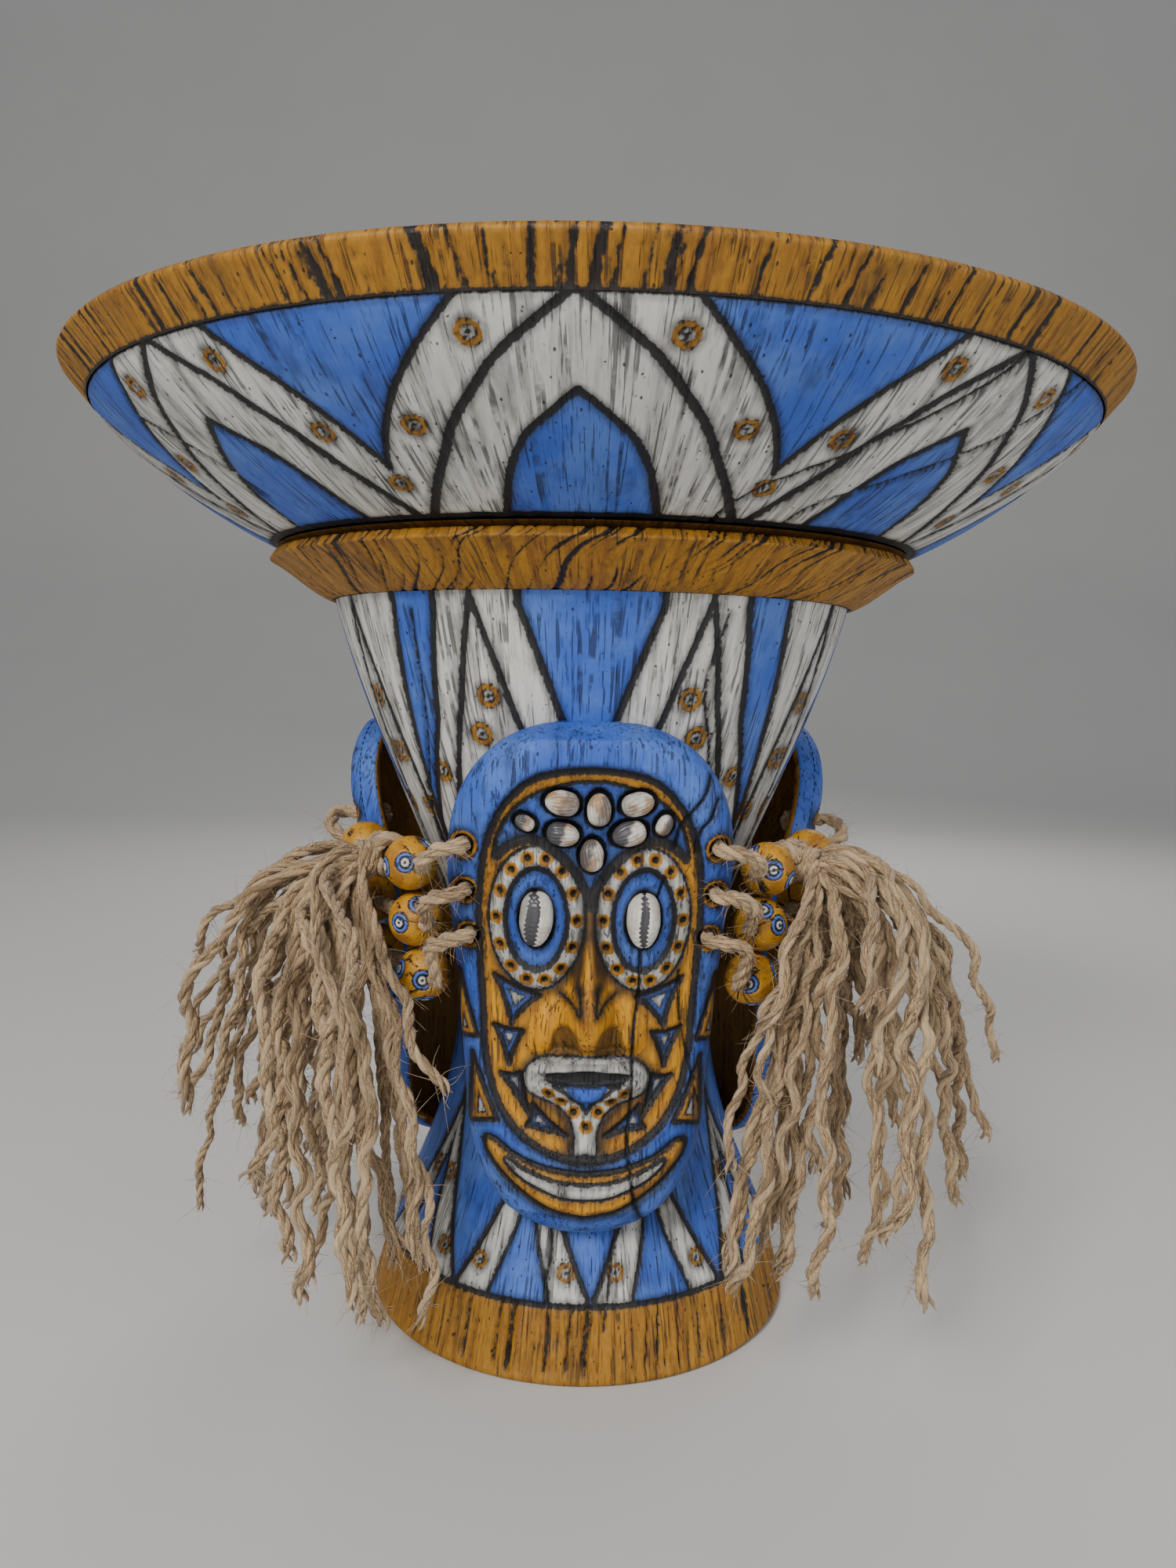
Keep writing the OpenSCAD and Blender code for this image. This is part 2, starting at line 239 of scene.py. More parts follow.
def make_mesh(name, points, faces, fields=(), vectors=(), material=None):
    """A smooth mesh object from points in millimetres, with its attributes in millimetres."""
    mesh = bpy.data.meshes.new(name)
    mesh.vertices.add(len(points))
    mesh.vertices.foreach_set("co", (np.asarray(points, float) * MM).astype(np.float32).ravel())
    faces = np.asarray(faces)
    mesh.loops.add(faces.size)
    mesh.loops.foreach_set("vertex_index", faces.astype(np.int32).ravel())
    mesh.polygons.add(len(faces))
    mesh.polygons.foreach_set("loop_start", np.arange(0, faces.size, faces.shape[1], dtype=np.int32))
    mesh.polygons.foreach_set("use_smooth", np.ones(len(faces), bool))
    mesh.update(calc_edges=True)
    for key, values in dict(fields).items():
        layer = mesh.attributes.new(key, "FLOAT", "POINT")
        layer.data.foreach_set("value", np.asarray(values, np.float32).ravel())
    for key, values in dict(vectors).items():
        layer = mesh.attributes.new(key, "FLOAT_VECTOR", "POINT")
        layer.data.foreach_set("vector", np.asarray(values, np.float32).ravel())
    piece = bpy.data.objects.new(name, mesh)
    bpy.context.scene.collection.objects.link(piece)
    if material:
        mesh.materials.append(material)
    return piece


class Parts:
    """Gathers strips of points, faces and attributes into one mesh."""

    def __init__(self):
        self.points, self.faces, self.fields, self.count = [], [], {}, 0

    def add(self, points, faces, **fields):
        points = np.asarray(points, float).reshape(-1, 3)
        self.points.append(points)
        self.faces.append(np.asarray(faces) + self.count)
        self.count += len(points)
        for key, values in fields.items():
            self.fields.setdefault(key, []).append(np.asarray(values, float).reshape(len(points), -1))

    def build(self, name, material):
        fields = {k: np.vstack(v) for k, v in self.fields.items()}
        return make_mesh(name, np.vstack(self.points), np.vstack(self.faces),
                         {k: v for k, v in fields.items() if v.shape[1] == 1},
                         {k: v for k, v in fields.items() if v.shape[1] == 3}, material)


def paint_fields(paint, furrow, grain):
    return {"white": paint.white, "ochre": paint.ochre, "black": paint.black,
            "shade": paint.shade, "furrow": furrow, "grain": grain}


def with_ends(line, step):
    return even(np.asarray(line, float), step)


def arc_length(profile):
    return np.r_[0.0, np.cumsum(np.hypot(*np.diff(profile, axis=0).T))]


def even(profile, step):
    """The same profile with points about step apart."""
    s = arc_length(profile)
    t = np.linspace(0.0, s[-1], max(2, int(round(s[-1] / step)) + 1))
    return np.stack([np.interp(t, s, profile[:, 0]), np.interp(t, s, profile[:, 1])], 1)


def turned(parts, profile, columns, grain_r, decorate):
    """Adds a turned strip. Its profile runs with the outside on the right, as [radius, height].

    decorate(angle, s, r) gives the paint, the furrows and the carved depth.
    """
    s = arc_length(profile)
    tangent = np.gradient(profile, s, axis=0)
    tangent /= np.linalg.norm(tangent, axis=1)[:, None]
    angle = np.arange(columns) / columns * 360.0 - 180.0
    a = np.radians(angle)[None, :]
    shape = (len(profile), columns)
    big_s = np.broadcast_to(s[:, None], shape)
    big_r = np.broadcast_to(profile[:, :1], shape)
    paint, furrow, depth = decorate(np.broadcast_to(angle[None, :], shape), big_s, big_r)
    r = profile[:, :1] - tangent[:, 1:] * depth
    z = profile[:, 1:] + tangent[:, :1] * depth
    points = np.stack([r * np.sin(a), -r * np.cos(a), z], -1)
    grain = np.stack([grain_r * np.sin(a) + 0 * r, -grain_r * np.cos(a) + 0 * r, big_s], -1)
    parts.add(points, grid_faces(*shape, True), **paint_fields(paint, furrow, grain))


# ---------------------------------------------------------------- materials

class Nodes:
    """Short names for building one material."""

    def __init__(self, name):
        self.material = bpy.data.materials.new(name)
        self.material.use_nodes = True
        self.tree = self.material.node_tree
        self.shader = self.tree.nodes["Principled BSDF"]

    def new(self, kind, **settings):
        node = self.tree.nodes.new(kind)
        for key, value in settings.items():
            setattr(node, key, value)
        return node

    def put(self, value, socket):
        if isinstance(value, (int, float)):
            socket.default_value = value
        elif isinstance(value, tuple):
            socket.default_value = value if len(value) == len(socket.default_value) else (*value, 1.0)
        else:
            self.tree.links.new(value, socket)

    def math(self, kind, a, b=0.0, c=0.0):
        node = self.new("ShaderNodeMath", operation=kind)
        for value, socket in zip((a, b, c), node.inputs):
            self.put(value, socket)
        return node.outputs[0]

    def times(self, a, b):
        return self.math("MULTIPLY", a, b)

    def plus(self, a, b):
        return self.math("ADD", a, b)

    def minus(self, a, b):
        return self.math("SUBTRACT", a, b)

    def step(self, value, low, high):
        """0 below low and 1 above high, smoothly. low may be above high."""
        node = self.new("ShaderNodeMapRange", interpolation_type="SMOOTHSTEP")
        flip = low > high
        self.put(value, node.inputs["Value"])
        node.inputs["From Min"].default_value = min(low, high)
        node.inputs["From Max"].default_value = max(low, high)
        node.inputs["To Min"].default_value = 1.0 if flip else 0.0
        node.inputs["To Max"].default_value = 0.0 if flip else 1.0
        return node.outputs[0]

    def mix(self, factor, a, b, kind="MIX"):
        node = self.new("ShaderNodeMix", data_type="RGBA", blend_type=kind)
        self.put(factor, node.inputs[0])
        self.put(a, node.inputs[6])
        self.put(b, node.inputs[7])
        return node.outputs[2]

    def field(self, name):
        return self.new("ShaderNodeAttribute", attribute_name=name)

    def amount(self, name):
        return self.field(name).outputs["Fac"]

    def stretched(self, vector, x, y, z):
        node = self.new("ShaderNodeVectorMath", operation="MULTIPLY")
        self.put(vector, node.inputs[0])
        node.inputs[1].default_value = (x, y, z)
        return node.outputs[0]

    def noise(self, vector, scale, detail=3.0, rough=0.55):
        node = self.new("ShaderNodeTexNoise")
        self.put(vector, node.inputs["Vector"])
        node.inputs["Scale"].default_value = scale
        node.inputs["Detail"].default_value = detail
        node.inputs["Roughness"].default_value = rough
        return node.outputs["Fac"]

    def cells(self, vector, scale):
        node = self.new("ShaderNodeTexVoronoi")
        self.put(vector, node.inputs["Vector"])
        node.inputs["Scale"].default_value = scale
        return node.outputs["Distance"]

    def finish(self, colour, roughness, height, strength, depth=0.3):
        """Links the colour, the roughness and a bump height in millimetres."""
        bump = self.new("ShaderNodeBump")
        bump.inputs["Strength"].default_value = strength
        bump.inputs["Distance"].default_value = depth * MM
        self.put(height, bump.inputs["Height"])
        self.put(bump.outputs["Normal"], self.shader.inputs["Normal"])
        self.put(colour, self.shader.inputs["Base Color"])
        self.put(roughness, self.shader.inputs["Roughness"])
        return self.material


BLUE = (0.030, 0.105, 0.500)
BLUE_WORN = (0.075, 0.175, 0.560)
WHITE = (0.640, 0.635, 0.600)
WHITE_WORN = (0.340, 0.335, 0.310)
OCHRE = (0.640, 0.290, 0.006)
OCHRE_WORN = (0.400, 0.150, 0.005)
CHARCOAL = (0.004, 0.004, 0.005)


def painted_wood(name, streaks=1.0):
    """Old paint on carved wood, from the piece's distances and its grain."""
    n = Nodes(name)
    grain = n.field("grain").outputs["Vector"]
    along = n.stretched(grain, 1.0, 1.0, 0.07)
    fine = n.noise(along, 1.5, 4.0, 0.65)
    broad = n.noise(along, 0.35, 3.0)
    patches = n.noise(grain, 0.045, 4.0, 0.6)
    wobble = n.math("MULTIPLY_ADD", n.noise(n.stretched(grain, 1.0, 1.0, 0.6), 0.8, 3.0), 1.6, -0.8)

    def area(field, soft=0.25):
        return n.step(n.plus(n.amount(field), wobble), soft, -soft)

    blue = n.mix(n.step(patches, 0.38, 0.68), BLUE, BLUE_WORN)
    white = n.mix(n.step(broad, 0.42, 0.72), WHITE, WHITE_WORN)
    ochre = n.mix(n.step(broad, 0.40, 0.75), OCHRE, OCHRE_WORN)
    colour = n.mix(area("white"), blue, white)
    colour = n.mix(area("ochre"), colour, ochre)
    # thin dark streaks along the grain, and small pits
    streak = n.step(fine, 0.56, 0.70)
    streak = n.times(streak, n.step(broad, 0.35, 0.60))
    colour = n.mix(n.times(streak, 0.66 * streaks), colour, CHARCOAL)
    hairline = n.step(n.noise(n.stretched(grain, 1.0, 1.0, 0.035), 0.85, 2.0, 0.5), 0.575, 0.615)
    hairline = n.times(hairline, n.step(n.noise(grain, 0.11), 0.36, 0.56))
    colour = n.mix(n.times(hairline, 0.70 * streaks), colour, CHARCOAL)
    pit = n.step(n.cells(n.stretched(grain, 1.0, 1.0, 0.55), 0.42), 0.17, 0.10)
    pit = n.times(pit, n.step(n.noise(grain, 0.30), 0.50, 0.56))
    colour = n.mix(n.times(pit, 0.85), colour, CHARCOAL)
    cloud = n.noise(n.stretched(grain, 1.0, 1.0, 0.4), 0.10, 4.0, 0.65)
    dirt = n.times(n.step(cloud, 0.50, 0.72), 0.42)
    colour = n.mix(dirt, colour, CHARCOAL)
    # painted shade in the crevices beside the grooves, with the charcoal glaze rubbed in there, and then
    # the shade field
    near = n.step(n.plus(n.amount("black"), wobble), 2.6, -0.3)
    colour = n.mix(n.times(near, 0.58), colour, CHARCOAL)
    colour = n.mix(n.times(n.amount("shade"), 0.85), colour, CHARCOAL)
    black = area("black")
    colour = n.mix(n.times(black, 0.96), colour, CHARCOAL)
    rough = n.math("MULTIPLY_ADD", broad, 0.22, 0.46)
    height = n.minus(n.times(fine, 0.8), n.times(streak, 1.0))
    height = n.minus(height, n.times(hairline, 1.2))
    height = n.minus(height, n.times(pit, 1.6))
    height = n.minus(height, n.amount("furrow"))
    return n.finish(colour, rough, height, 0.75, 0.45)


paint_material = painted_wood("painted_wood")


# ---------------------------------------------------------------- pedestal

BAND_H, WAIST_R, WAIST_Z, NECK_R, NECK_Z = 26.0, 50.0, 125.0, 99.0, 273.0
DISH_Z = box_mm("dish")[0][2]
COLLAR_R = box_mm("pedestal")[1][0]
TENON_Z = box_mm("pedestal")[1][2]
TENON_R = 40.0
FOOT_R, BAND_R = 83.0, 76.5    # at the floor and at the top of the ochre band
UNDERSIDE = ((0.5, 4), (64, 4), (65, 3), (65.5, 0.6), (66.5, 0), (FOOT_R - 2, 0))
# lengths along the foot's profile: to the start of its side, and from there to the band's top
FOOT_START = arc_length(with_ends(UNDERSIDE, 4.0))[-1]
BAND_TOP = 3.0 + math.hypot(FOOT_R - BAND_R, BAND_H - 2.0)
PATTERN_TURN = 1.1     # the neck's pattern is centred this far left of the front
FOOT_CRACKS = (
    ((-9.5, 6), (-8.4, 20), (-9.4, 34), (-7.9, 46), (-8.6, 60)),
    ((5.6, 20), (6.6, 32), (8.3, 50)))
NECK_CRACKS = (
    ((26, 60), (27, 100), (24.5, 125), (29, 150)),
    ((-44, 70), (-41, 110), (-43, 150)))


def wrapped(angle, period):
    """Angle from the middle of the nearest of the repeats, which are a period apart."""
    return (angle + period / 2) % period - period / 2


def furrows(angle, s, count, seed, strength):
    """Deep random furrows along the grain, in millimetres."""
    u = angle / 360.0 + 0.012 * (lattice(angle / 360.0, s / 400.0, 24, 6, seed + 1) - 0.5)
    wave = lattice(u, s / 400.0, count, 5, seed)
    fine = lattice(u, s / 400.0, 3 * count, 9, seed + 2)
    return strength * (smoothstep(0.62, 0.86, wave) + 0.5 * smoothstep(0.68, 0.9, fine))


def carve(paint, furrow, groove=0.8):
    """How deep the black lines and the furrows are cut."""
    return groove * smoothstep(0.5, -0.7, paint.black) + furrow


def crack(paint, x, y, line, width):
    """A crack that is widest at its middle and goes black."""
    line = spline(line, per=5)
    gap = distance(x, y, line)
    paint.black_over(gap - width / 2)
    return 1.6 * smoothstep(width, 0.0, gap)


def foot_paint(angle, s, r):
    """The foot's ochre band and its zigzag. s starts at the middle of the underside."""
    paint = Paint(angle.shape)
    band_top = FOOT_START + BAND_TOP
    t = s - band_top
    d = np.abs(wrapped(angle - 2.4, 40.0))
    mm = r * TURN / 360.0
    wedge = (d - np.interp(t, (2.5, 18, 37, 60, 70), (0.9, 6.2, 12, 19, 21))) * mm
    tooth = (d - np.interp(t, (2.5, 21, 45, 60), (11.5, 16, 20, 22))) * mm
    paint.white_over(np.maximum(-wedge, tooth) * 0.92)
    paint.line(np.abs(wedge) * 0.92, 2.0)
    paint.line(np.abs(tooth) * 0.94, 1.5)
    for place, height in ((6.9, 11.0), (15.6, 35.0)):
        paint.ring_dot(np.hypot((d - place) * mm, t - height), 3.4)
    paint.ochre_over(np.maximum(t + 0.6, -1.0 - (s - FOOT_START)))
    paint.black = np.where(t < -0.6, 20.0, paint.black)
    paint.line(np.abs(t), 2.2)
    furrow = furrows(angle, s, 340, 11, 0.5) * np.where(t < 0, 2.0, 0.40) * smoothstep(2, 8, s - FOOT_START)
    paint.black_over(np.where(t < -1, 0.70 - 0.9 * furrow, 20.0))
    depth = carve(paint, furrow)
    for line in FOOT_CRACKS:
        depth = depth + crack(paint, angle * mm, s - FOOT_START, np.array(line) * [1.4, 1.0], 1.0)
    paint.shade = np.clip(0.75 * smoothstep(60.0, 95.0, t), 0, 1)
    return paint, furrow, depth


def neck_paint(angle, s, r):
    """The neck's tents, which repeat for each mask. s starts at the waist."""
    paint = Paint(angle.shape)
    d = np.abs(wrapped(angle + PATTERN_TURN, 120.0))
    mm = r * TURN / 360.0

    def edge(*points):
        points = sorted(points)
        return (d - np.interp(s, [p[0] for p in points], [p[1] for p in points])) * mm

    a = edge((82, 0), (115, 6.4), (152, 13.9))
    b = edge((70, 50), (85, 45.5), (112, 37.5), (152, 32))
    c = edge((80, 50), (100, 48), (152, 43))
    paint.white_over(np.maximum(-a, b))
    paint.white_over(-c)
    for gap in (a, b, c):
        paint.line(np.abs(gap) * 0.95, 2.6)
    low = np.where(s < 157, 0.0, 9.0)
    for leg in (edge((80, 9), (114, 16.5), (155, 23.7)),
                edge((80, 38), (107, 32), (118, 29.5), (155, 23.7)),
                edge((76, 53), (118, 56), (157, 60))):
        paint.line(np.abs(leg) * 0.95 + low, 2.4)
    for place, height in ((22.2, 121), (25.6, 107), (60, 120), (58, 98), (53, 77), (19.5, 92), (41, 92)):
        paint.ring_dot(np.hypot((d - place) * mm, s - height), 4.3)
    furrow = furrows(angle, s, 170, 31, 0.28)
    depth = carve(paint, furrow)
    for line in NECK_CRACKS:
        depth = depth + crack(paint, angle * mm, s, np.array(line) * [1.55, 1.0], 1.1)
    paint.shade = 0.55 * smoothstep(75.0, 35.0, s)
    return paint, furrow, depth


def collar_paint(angle, s, r):
    """Ochre wood with flowing furrows."""
    paint = Paint(angle.shape)
    paint.ochre_over(np.full(angle.shape, -5.0))
    bent = angle - 0.35 * s + 1.0 * np.sin(s / 6.0 + 5.0 * lattice(angle / 360.0, 0 * s, 24, 1, 51))
    furrow = furrows(bent, s * 2.5, 520, 52, 0.70)
    paint.black = 0.85 - 1.7 * furrow
    paint.line(s, 2.4)
    return paint, 0.6 * furrow, 0.8 * furrow


def add_pedestal():
    foot_side = bezier((BAND_R, BAND_H), (66.5, 53), (WAIST_R, 75), (WAIST_R, WAIST_Z), 40)
    neck_side = bezier((WAIST_R, WAIST_Z), (WAIST_R, 163), (84, 213), (NECK_R, NECK_Z), 50)
    collar_side = bezier((101, NECK_Z), (109, 276), (115, 283), (COLLAR_R, 287), 20)
    under = with_ends(UNDERSIDE, 4.0)
    side = with_ends(np.vstack([[(FOOT_R - 2, 0), (FOOT_R - 0.6, 0.6), (FOOT_R, 2)], foot_side]), 1.05)
    parts = Parts()
    turned(parts, np.vstack([under[:-1], side]), 620, FOOT_R, foot_paint)
    pieces = [parts.build("pedestal_foot", paint_material)]
    parts = Parts()
    turned(parts, with_ends(neck_side, 1.05), 570, 75.0, neck_paint)
    pieces.append(parts.build("pedestal_neck", paint_material))
    parts = Parts()
    seat = (COLLAR_R - 2, DISH_Z - 0.1)
    tenon = [(TENON_R, seat[1]), (TENON_R, TENON_Z - 0.5), (TENON_R - 0.5, TENON_Z), (0.5, TENON_Z)]
    outside = with_ends(np.vstack([[(NECK_R, NECK_Z)], collar_side, [seat]]), 0.9)
    turned(parts, np.vstack([outside, tenon]), 900, 112.0, collar_paint)
    pieces.append(parts.build("pedestal_collar", paint_material))
    for piece in pieces:
        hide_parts("pedestal")
        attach(piece, "root")


add_pedestal()


# ---------------------------------------------------------------- dish

RIM_R = box_mm("dish")[1][0]
TOP_Z = box_mm("dish")[1][2]
FLANK_LONG = 78.5      # length of the profile up the flank
RIM_LONG = 26.0        # length of the profile over the rim, to the bowl
BOWL_BAND = 14.0       # width of the white band in the bowl
FLANK_WIDE = 52.0      # half of the front motif, along the flank's middle
FLANK_ARC = 2.62       # length of a degree there
MOTIF_MIDDLE, MOTIF_HALF = -2.7, 22.5
OTHER_HALF = (360.0 - 2 * MOTIF_HALF) / 16


def motif(angle):
    """Place across the nearest motif from 0 at its middle to 1 at its edge, and the motif's half width."""
    a = wrapped(angle - MOTIF_MIDDLE, 360.0)
    front = np.abs(a) <= MOTIF_HALF
    rest = wrapped(np.abs(a) - MOTIF_HALF - OTHER_HALF, 2 * OTHER_HALF)
    half = np.where(front, MOTIF_HALF, OTHER_HALF)
    return np.where(front, np.abs(a) / MOTIF_HALF, np.abs(rest) / OTHER_HALF), half


# angle from the front and length up the flank
FLANK_CRACKS = (
    ((40, 79), (36, 62), (28, 38), (20, 20), (16.5, 8), (16, 0)),
    ((52, 79), (46, 52), (37, 30), (29, 14), (27, 4)),
    ((-58, 60), (-52, 38), (-50, 20)),
    ((118, 79), (112, 55), (109, 30)),
)


def flank_paint(angle, s, r):
    """Pointed arches with dotted leaves between them. s starts at the collar."""
    paint = Paint(angle.shape)
    u, half = motif(angle)
    x = FLANK_WIDE * u
    size = half / 20.0 * r / 150.0

    def line(*points):
        return spline(np.array(points) * [FLANK_WIDE, 1.0], per=6)

    ogive = line((0, 79), (.16, 70), (.31, 61), (.444, 50), (.56, 40.5), (.675, 28), (.78, 18), (.947, 2))
    outer = line((.40, 79), (.53, 70), (.73, 55), (.87, 42), (.97, 30), (1, 25))
    inner = line((0, 51.4), (.133, 43), (.253, 35), (.351, 23), (.40, 14), (.47, 0))
    near = distance(x, s, ogive)
    paint.white_over(np.full(x.shape, -6.0))
    between = signed(x, s, np.vstack([outer, [(60, 25), (60, 90), (20.8, 90)]]))
    inside = signed(x, s, np.vstack([inner, [(24, -6), (-6, -6), (-6, 51.4)]]))
    paint.blue_over(np.minimum(between, inside) * size)
    paint.line(near * size, 2.9)
    paint.line(distance(x, s, outer) * size, 2.3)
    paint.line(distance(x, s, inner) * size, 2.5)
    for place, height in ((.39, 67.7), (.74, 40.6), (1.0, 18.4)):
        paint.ring_dot(np.hypot((x - FLANK_WIDE * place) * size, s - height), 3.8)
    paint.black_over(s - 3.2)
    paint.line(np.abs(s - FLANK_LONG), 2.2)
    furrow = furrows(angle, s, 300, 71, 0.22)
    depth = carve(paint, furrow)
    for path in FLANK_CRACKS:
        depth = depth + crack(paint, angle * FLANK_ARC, s, np.array(path) * [FLANK_ARC, 1.0], 1.5)
    return paint, furrow, depth


def rim_paint(angle, s, r):
    """The rim's ochre band, its flat top and the start of the bowl."""
    paint = Paint(angle.shape)
    paint.ochre_over(np.full(angle.shape, -5.0))
    furrow = furrows(angle, 1.5 * s, 640, 91, 0.7) * (0.6 + 0.4 * smoothstep(30.0, 18.0, s))
    paint.black = 0.70 - 1.6 * furrow
    paint.line(s, 1.6)
    paint.line(np.abs(s - RIM_LONG), 2.0)
    return paint, 0.7 * furrow, furrow * smoothstep(0.0, 1.5, s) * smoothstep(18.0, 11.0, s)


def bowl_paint(angle, s, r):
    """A plain blue bowl with a white band under the rim."""
    paint = Paint(angle.shape)
    paint.white_over(s - BOWL_BAND)
    paint.line(np.abs(s - BOWL_BAND), 1.8)
    paint.line(np.abs(s), 1.6)
    furrow = furrows(angle, s, 260, 95, 0.2) * smoothstep(30.0, 90.0, r)
    return paint, furrow, carve(paint, furrow)


def plain_paint(angle, s, r):
    """The dark seam and the unpainted underside."""
    paint = Paint(angle.shape)
    paint.ochre_over(np.full(angle.shape, -5.0))
    paint.shade += 0.9
    return paint, 0 * s, 0 * s


def add_dish():
    flank = bezier((120, DISH_Z + 2), (149, 305), (174, 325), (183, 337), 60)
    socket_r = TENON_R + 0.4
    under = [(socket_r, TENON_Z + 1), (socket_r, DISH_Z + 0.1), (118, DISH_Z + 0.1), (120, DISH_Z + 2)]
    parts = Parts()
    turned(parts, with_ends(flank, 0.85), 1000, 150.0, flank_paint)
    pieces = [parts.build("dish_flank", paint_material)]
    parts = Parts()
    lip = (RIM_R - 11.1, TOP_Z - 1)
    band = [flank[-1], (RIM_R - 0.4, TOP_Z - 2.5), (RIM_R - 0.2, TOP_Z - 1.4), (RIM_R - 1.4, TOP_Z - 0.1),
            (RIM_R - 10, TOP_Z), lip]
    band = with_ends(band, 0.9)
    turned(parts, band, 1100, 186.0, rim_paint)
    pieces.append(parts.build("dish_rim", paint_material))
    parts = Parts()
    bowl = bezier(lip, (170, 325), (140, 308), (95, 308), 60)
    bowl = with_ends(np.vstack([bowl, [(60, 308), (20, 308), (0.5, 308)]]), 2.0)
    turned(parts, bowl, 420, 130.0, bowl_paint)
    turned(parts, with_ends(under, 6.0), 120, 130.0, plain_paint)
    pieces.append(parts.build("dish_inside", paint_material))
    for piece in pieces:
        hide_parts("dish")
        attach(piece, "root")


add_dish()


# ---------------------------------------------------------------- masks

BOW_Y = 31.0
CHIN_Z, CROWN_Z = box_mm("mask_front")[0][2], box_mm("mask_front")[1][2]
JAW_Z, JAW_W = 100.0, 42.0
SHOULDER_Z, SHOULDER_W = 178.0, box_mm("mask_front")[1][0]
MASK_DEPTH, BACK_DEPTH = 15.0, 7.2    # behind the face, at the edge and in the hollow back
LACE_Z = {"upper": 190.0, "middle": 174.0, "lower": 158.0}
HOLE_INSET, HOLE_R = 6.4, 3.4
EYE = (18.0, 165.0)
EYE_DOTS = 14
RIDGE = np.vstack([
    [(49, 73)], bezier((62, 81), (77, 82), (95, 79), (115, 79), 12),
    bezier((116, 79), (173, 78), (188, 97), (226, 97), 16), [(232, 91)]])
BROW_SPOTS = (
    (-22, 198.5, -60, 7.5), (-10, 205.5, -80, 12), (2, 203.5, 0, 11.5), (14.5, 205.5, 75, 11.5),
    (23.5, 198.5, 25, 8), (-9.5, 195, 100, 11.5), (12, 195.5, -105, 12), (0, 188, 0, 11.5))

# outlines of the right half of the face, from the front
FACE = ((0, 216.2), (10, 215.4), (19, 213), (25.5, 208), (31, 200.5), (35, 190), (37, 177), (37.6, 163),
        (37, 149), (35.8, 130), (34.8, 115), (31.5, 102), (26, 92.5), (18.5, 86), (10, 82), (0, 80.5))
BROW_TOP = ((0, 212.3), (6, 212), (18, 208.5), (26.5, 202), (31, 194), (32.4, 187))
BROW_ARC = ((31.5, 186.4), (26.5, 190.8), (20, 192.6), (13.4, 189.7), (6.5, 183.2), (2, 175.5), (0, 169.8))
MUZZLE = ((0, 143), (4, 141), (9, 138), (16.5, 133), (20, 127), (19.5, 119), (12, 116), (0, 116))
LIPS = ((0, 118.2), (11.5, 117.3), (18, 115), (21.6, 110.5), (20.8, 104.5), (17, 101.8), (11, 99.6),
        (6.3, 95.6), (4.1, 89.5), (3.9, 82.6), (0, 82.4))
LOWER_LIP = ((0, 108.3), (7.2, 108.3), (4.6, 103.6), (1.6, 99.6), (0, 97.2))
SMILE = ((0, 76.7), (13, 78.3), (24.3, 82.3), (31, 87), (34.6, 87), (33.6, 81.5), (25.8, 72.5), (13, 63.7),
         (0, 60.4))
TEETH = ((0, 73.7), (9.5, 74.5), (19, 77.5), (26.6, 81.4), (27.3, 79.8), (22.5, 75), (17, 72), (8, 68.4),
         (0, 67.8))
CHEEK_SPIKES = (
    ((32.3, 144), (16.3, 137.5), (26.1, 126.8)), ((32.2, 126), (22.2, 124.7), (26.7, 112.5)),
    ((29.6, 109.2), (22.6, 109.9), (19.4, 95)), ((18.4, 99.2), (20.3, 91.2), (6.6, 88.6)))
MARGIN_SPIKES = (((44.4, 144.5), (46.5, 119), (37.8, 122)), ((39.6, 116), (40.5, 91), (30.3, 93.5)))
LIP_GROOVE = ((11, 107.6), (8.2, 106.4), (4.4, 102.8), (1.3, 99), (0, 96.9))
LIP_DOTS = ((0, 92.3), (4.2, 97.3), (8.5, 101.7), (13, 104.6))
MASK_CRACKS = (
    (((38.5, 214.5), (36.4, 208), (31.9, 202.3), (28.5, 196.5), (27.4, 190.6)), 1.1),
    (((41.2, 206.9), (38.7, 200.2), (35.6, 196.3), (34.2, 188.4)), 1.1),
    (((24.5, 180.6), (22.8, 174.6), (21.4, 168)), 0.8),
    (((17.3, 154), (17.3, 144), (17, 136), (15.7, 126.2), (15.4, 111.3), (15.2, 96.5), (14.3, 86.9),
      (15.4, 78.2), (17, 67), (20.3, 56.9)), 1.0),
    (((30.9, 146.2), (31.8, 130.2), (35.2, 114.7), (39, 99.3)), 0.7))


def mask_w(z):
    return JAW_W + (SHOULDER_W - JAW_W) * np.minimum(1.0, (z - JAW_Z) / (SHOULDER_Z - JAW_Z))


def mask_outline_w(z):
    """Half of the mask's width at a height."""
    jaw = JAW_W * np.sqrt(np.clip(1 - ((JAW_Z - z) / (JAW_Z - CHIN_Z)) ** 2, 0, 1))
    up = np.clip((z - SHOULDER_Z) / (CROWN_Z - SHOULDER_Z), 0, 1)
    crown = SHOULDER_W * np.clip(1 - up ** 2.5, 0, 1) ** 0.4
    return np.where(z < JAW_Z, jaw, np.where(z > SHOULDER_Z, crown, mask_w(z)))


def face_y(x, z):
    return BOW_Y - np.sqrt((np.interp(z, RIDGE[:, 0], RIDGE[:, 1]) + BOW_Y) ** 2 - x * x)


def spiky(corners, sag=0.16):
    """A closed outline with sides that bend in towards its middle."""
    corners = np.asarray(corners, float)
    middle = corners.mean(0)
    out = []
    for a, b in zip(corners, np.roll(corners, -1, axis=0)):
        pulled = (a + b) / 2 * (1 - 2 * sag) + middle * 2 * sag
        for t in (0.0, 0.25, 0.5, 0.75):
            out.append((1 - t) ** 2 * a + 2 * t * (1 - t) * pulled + t * t * b)
    return np.array(out)


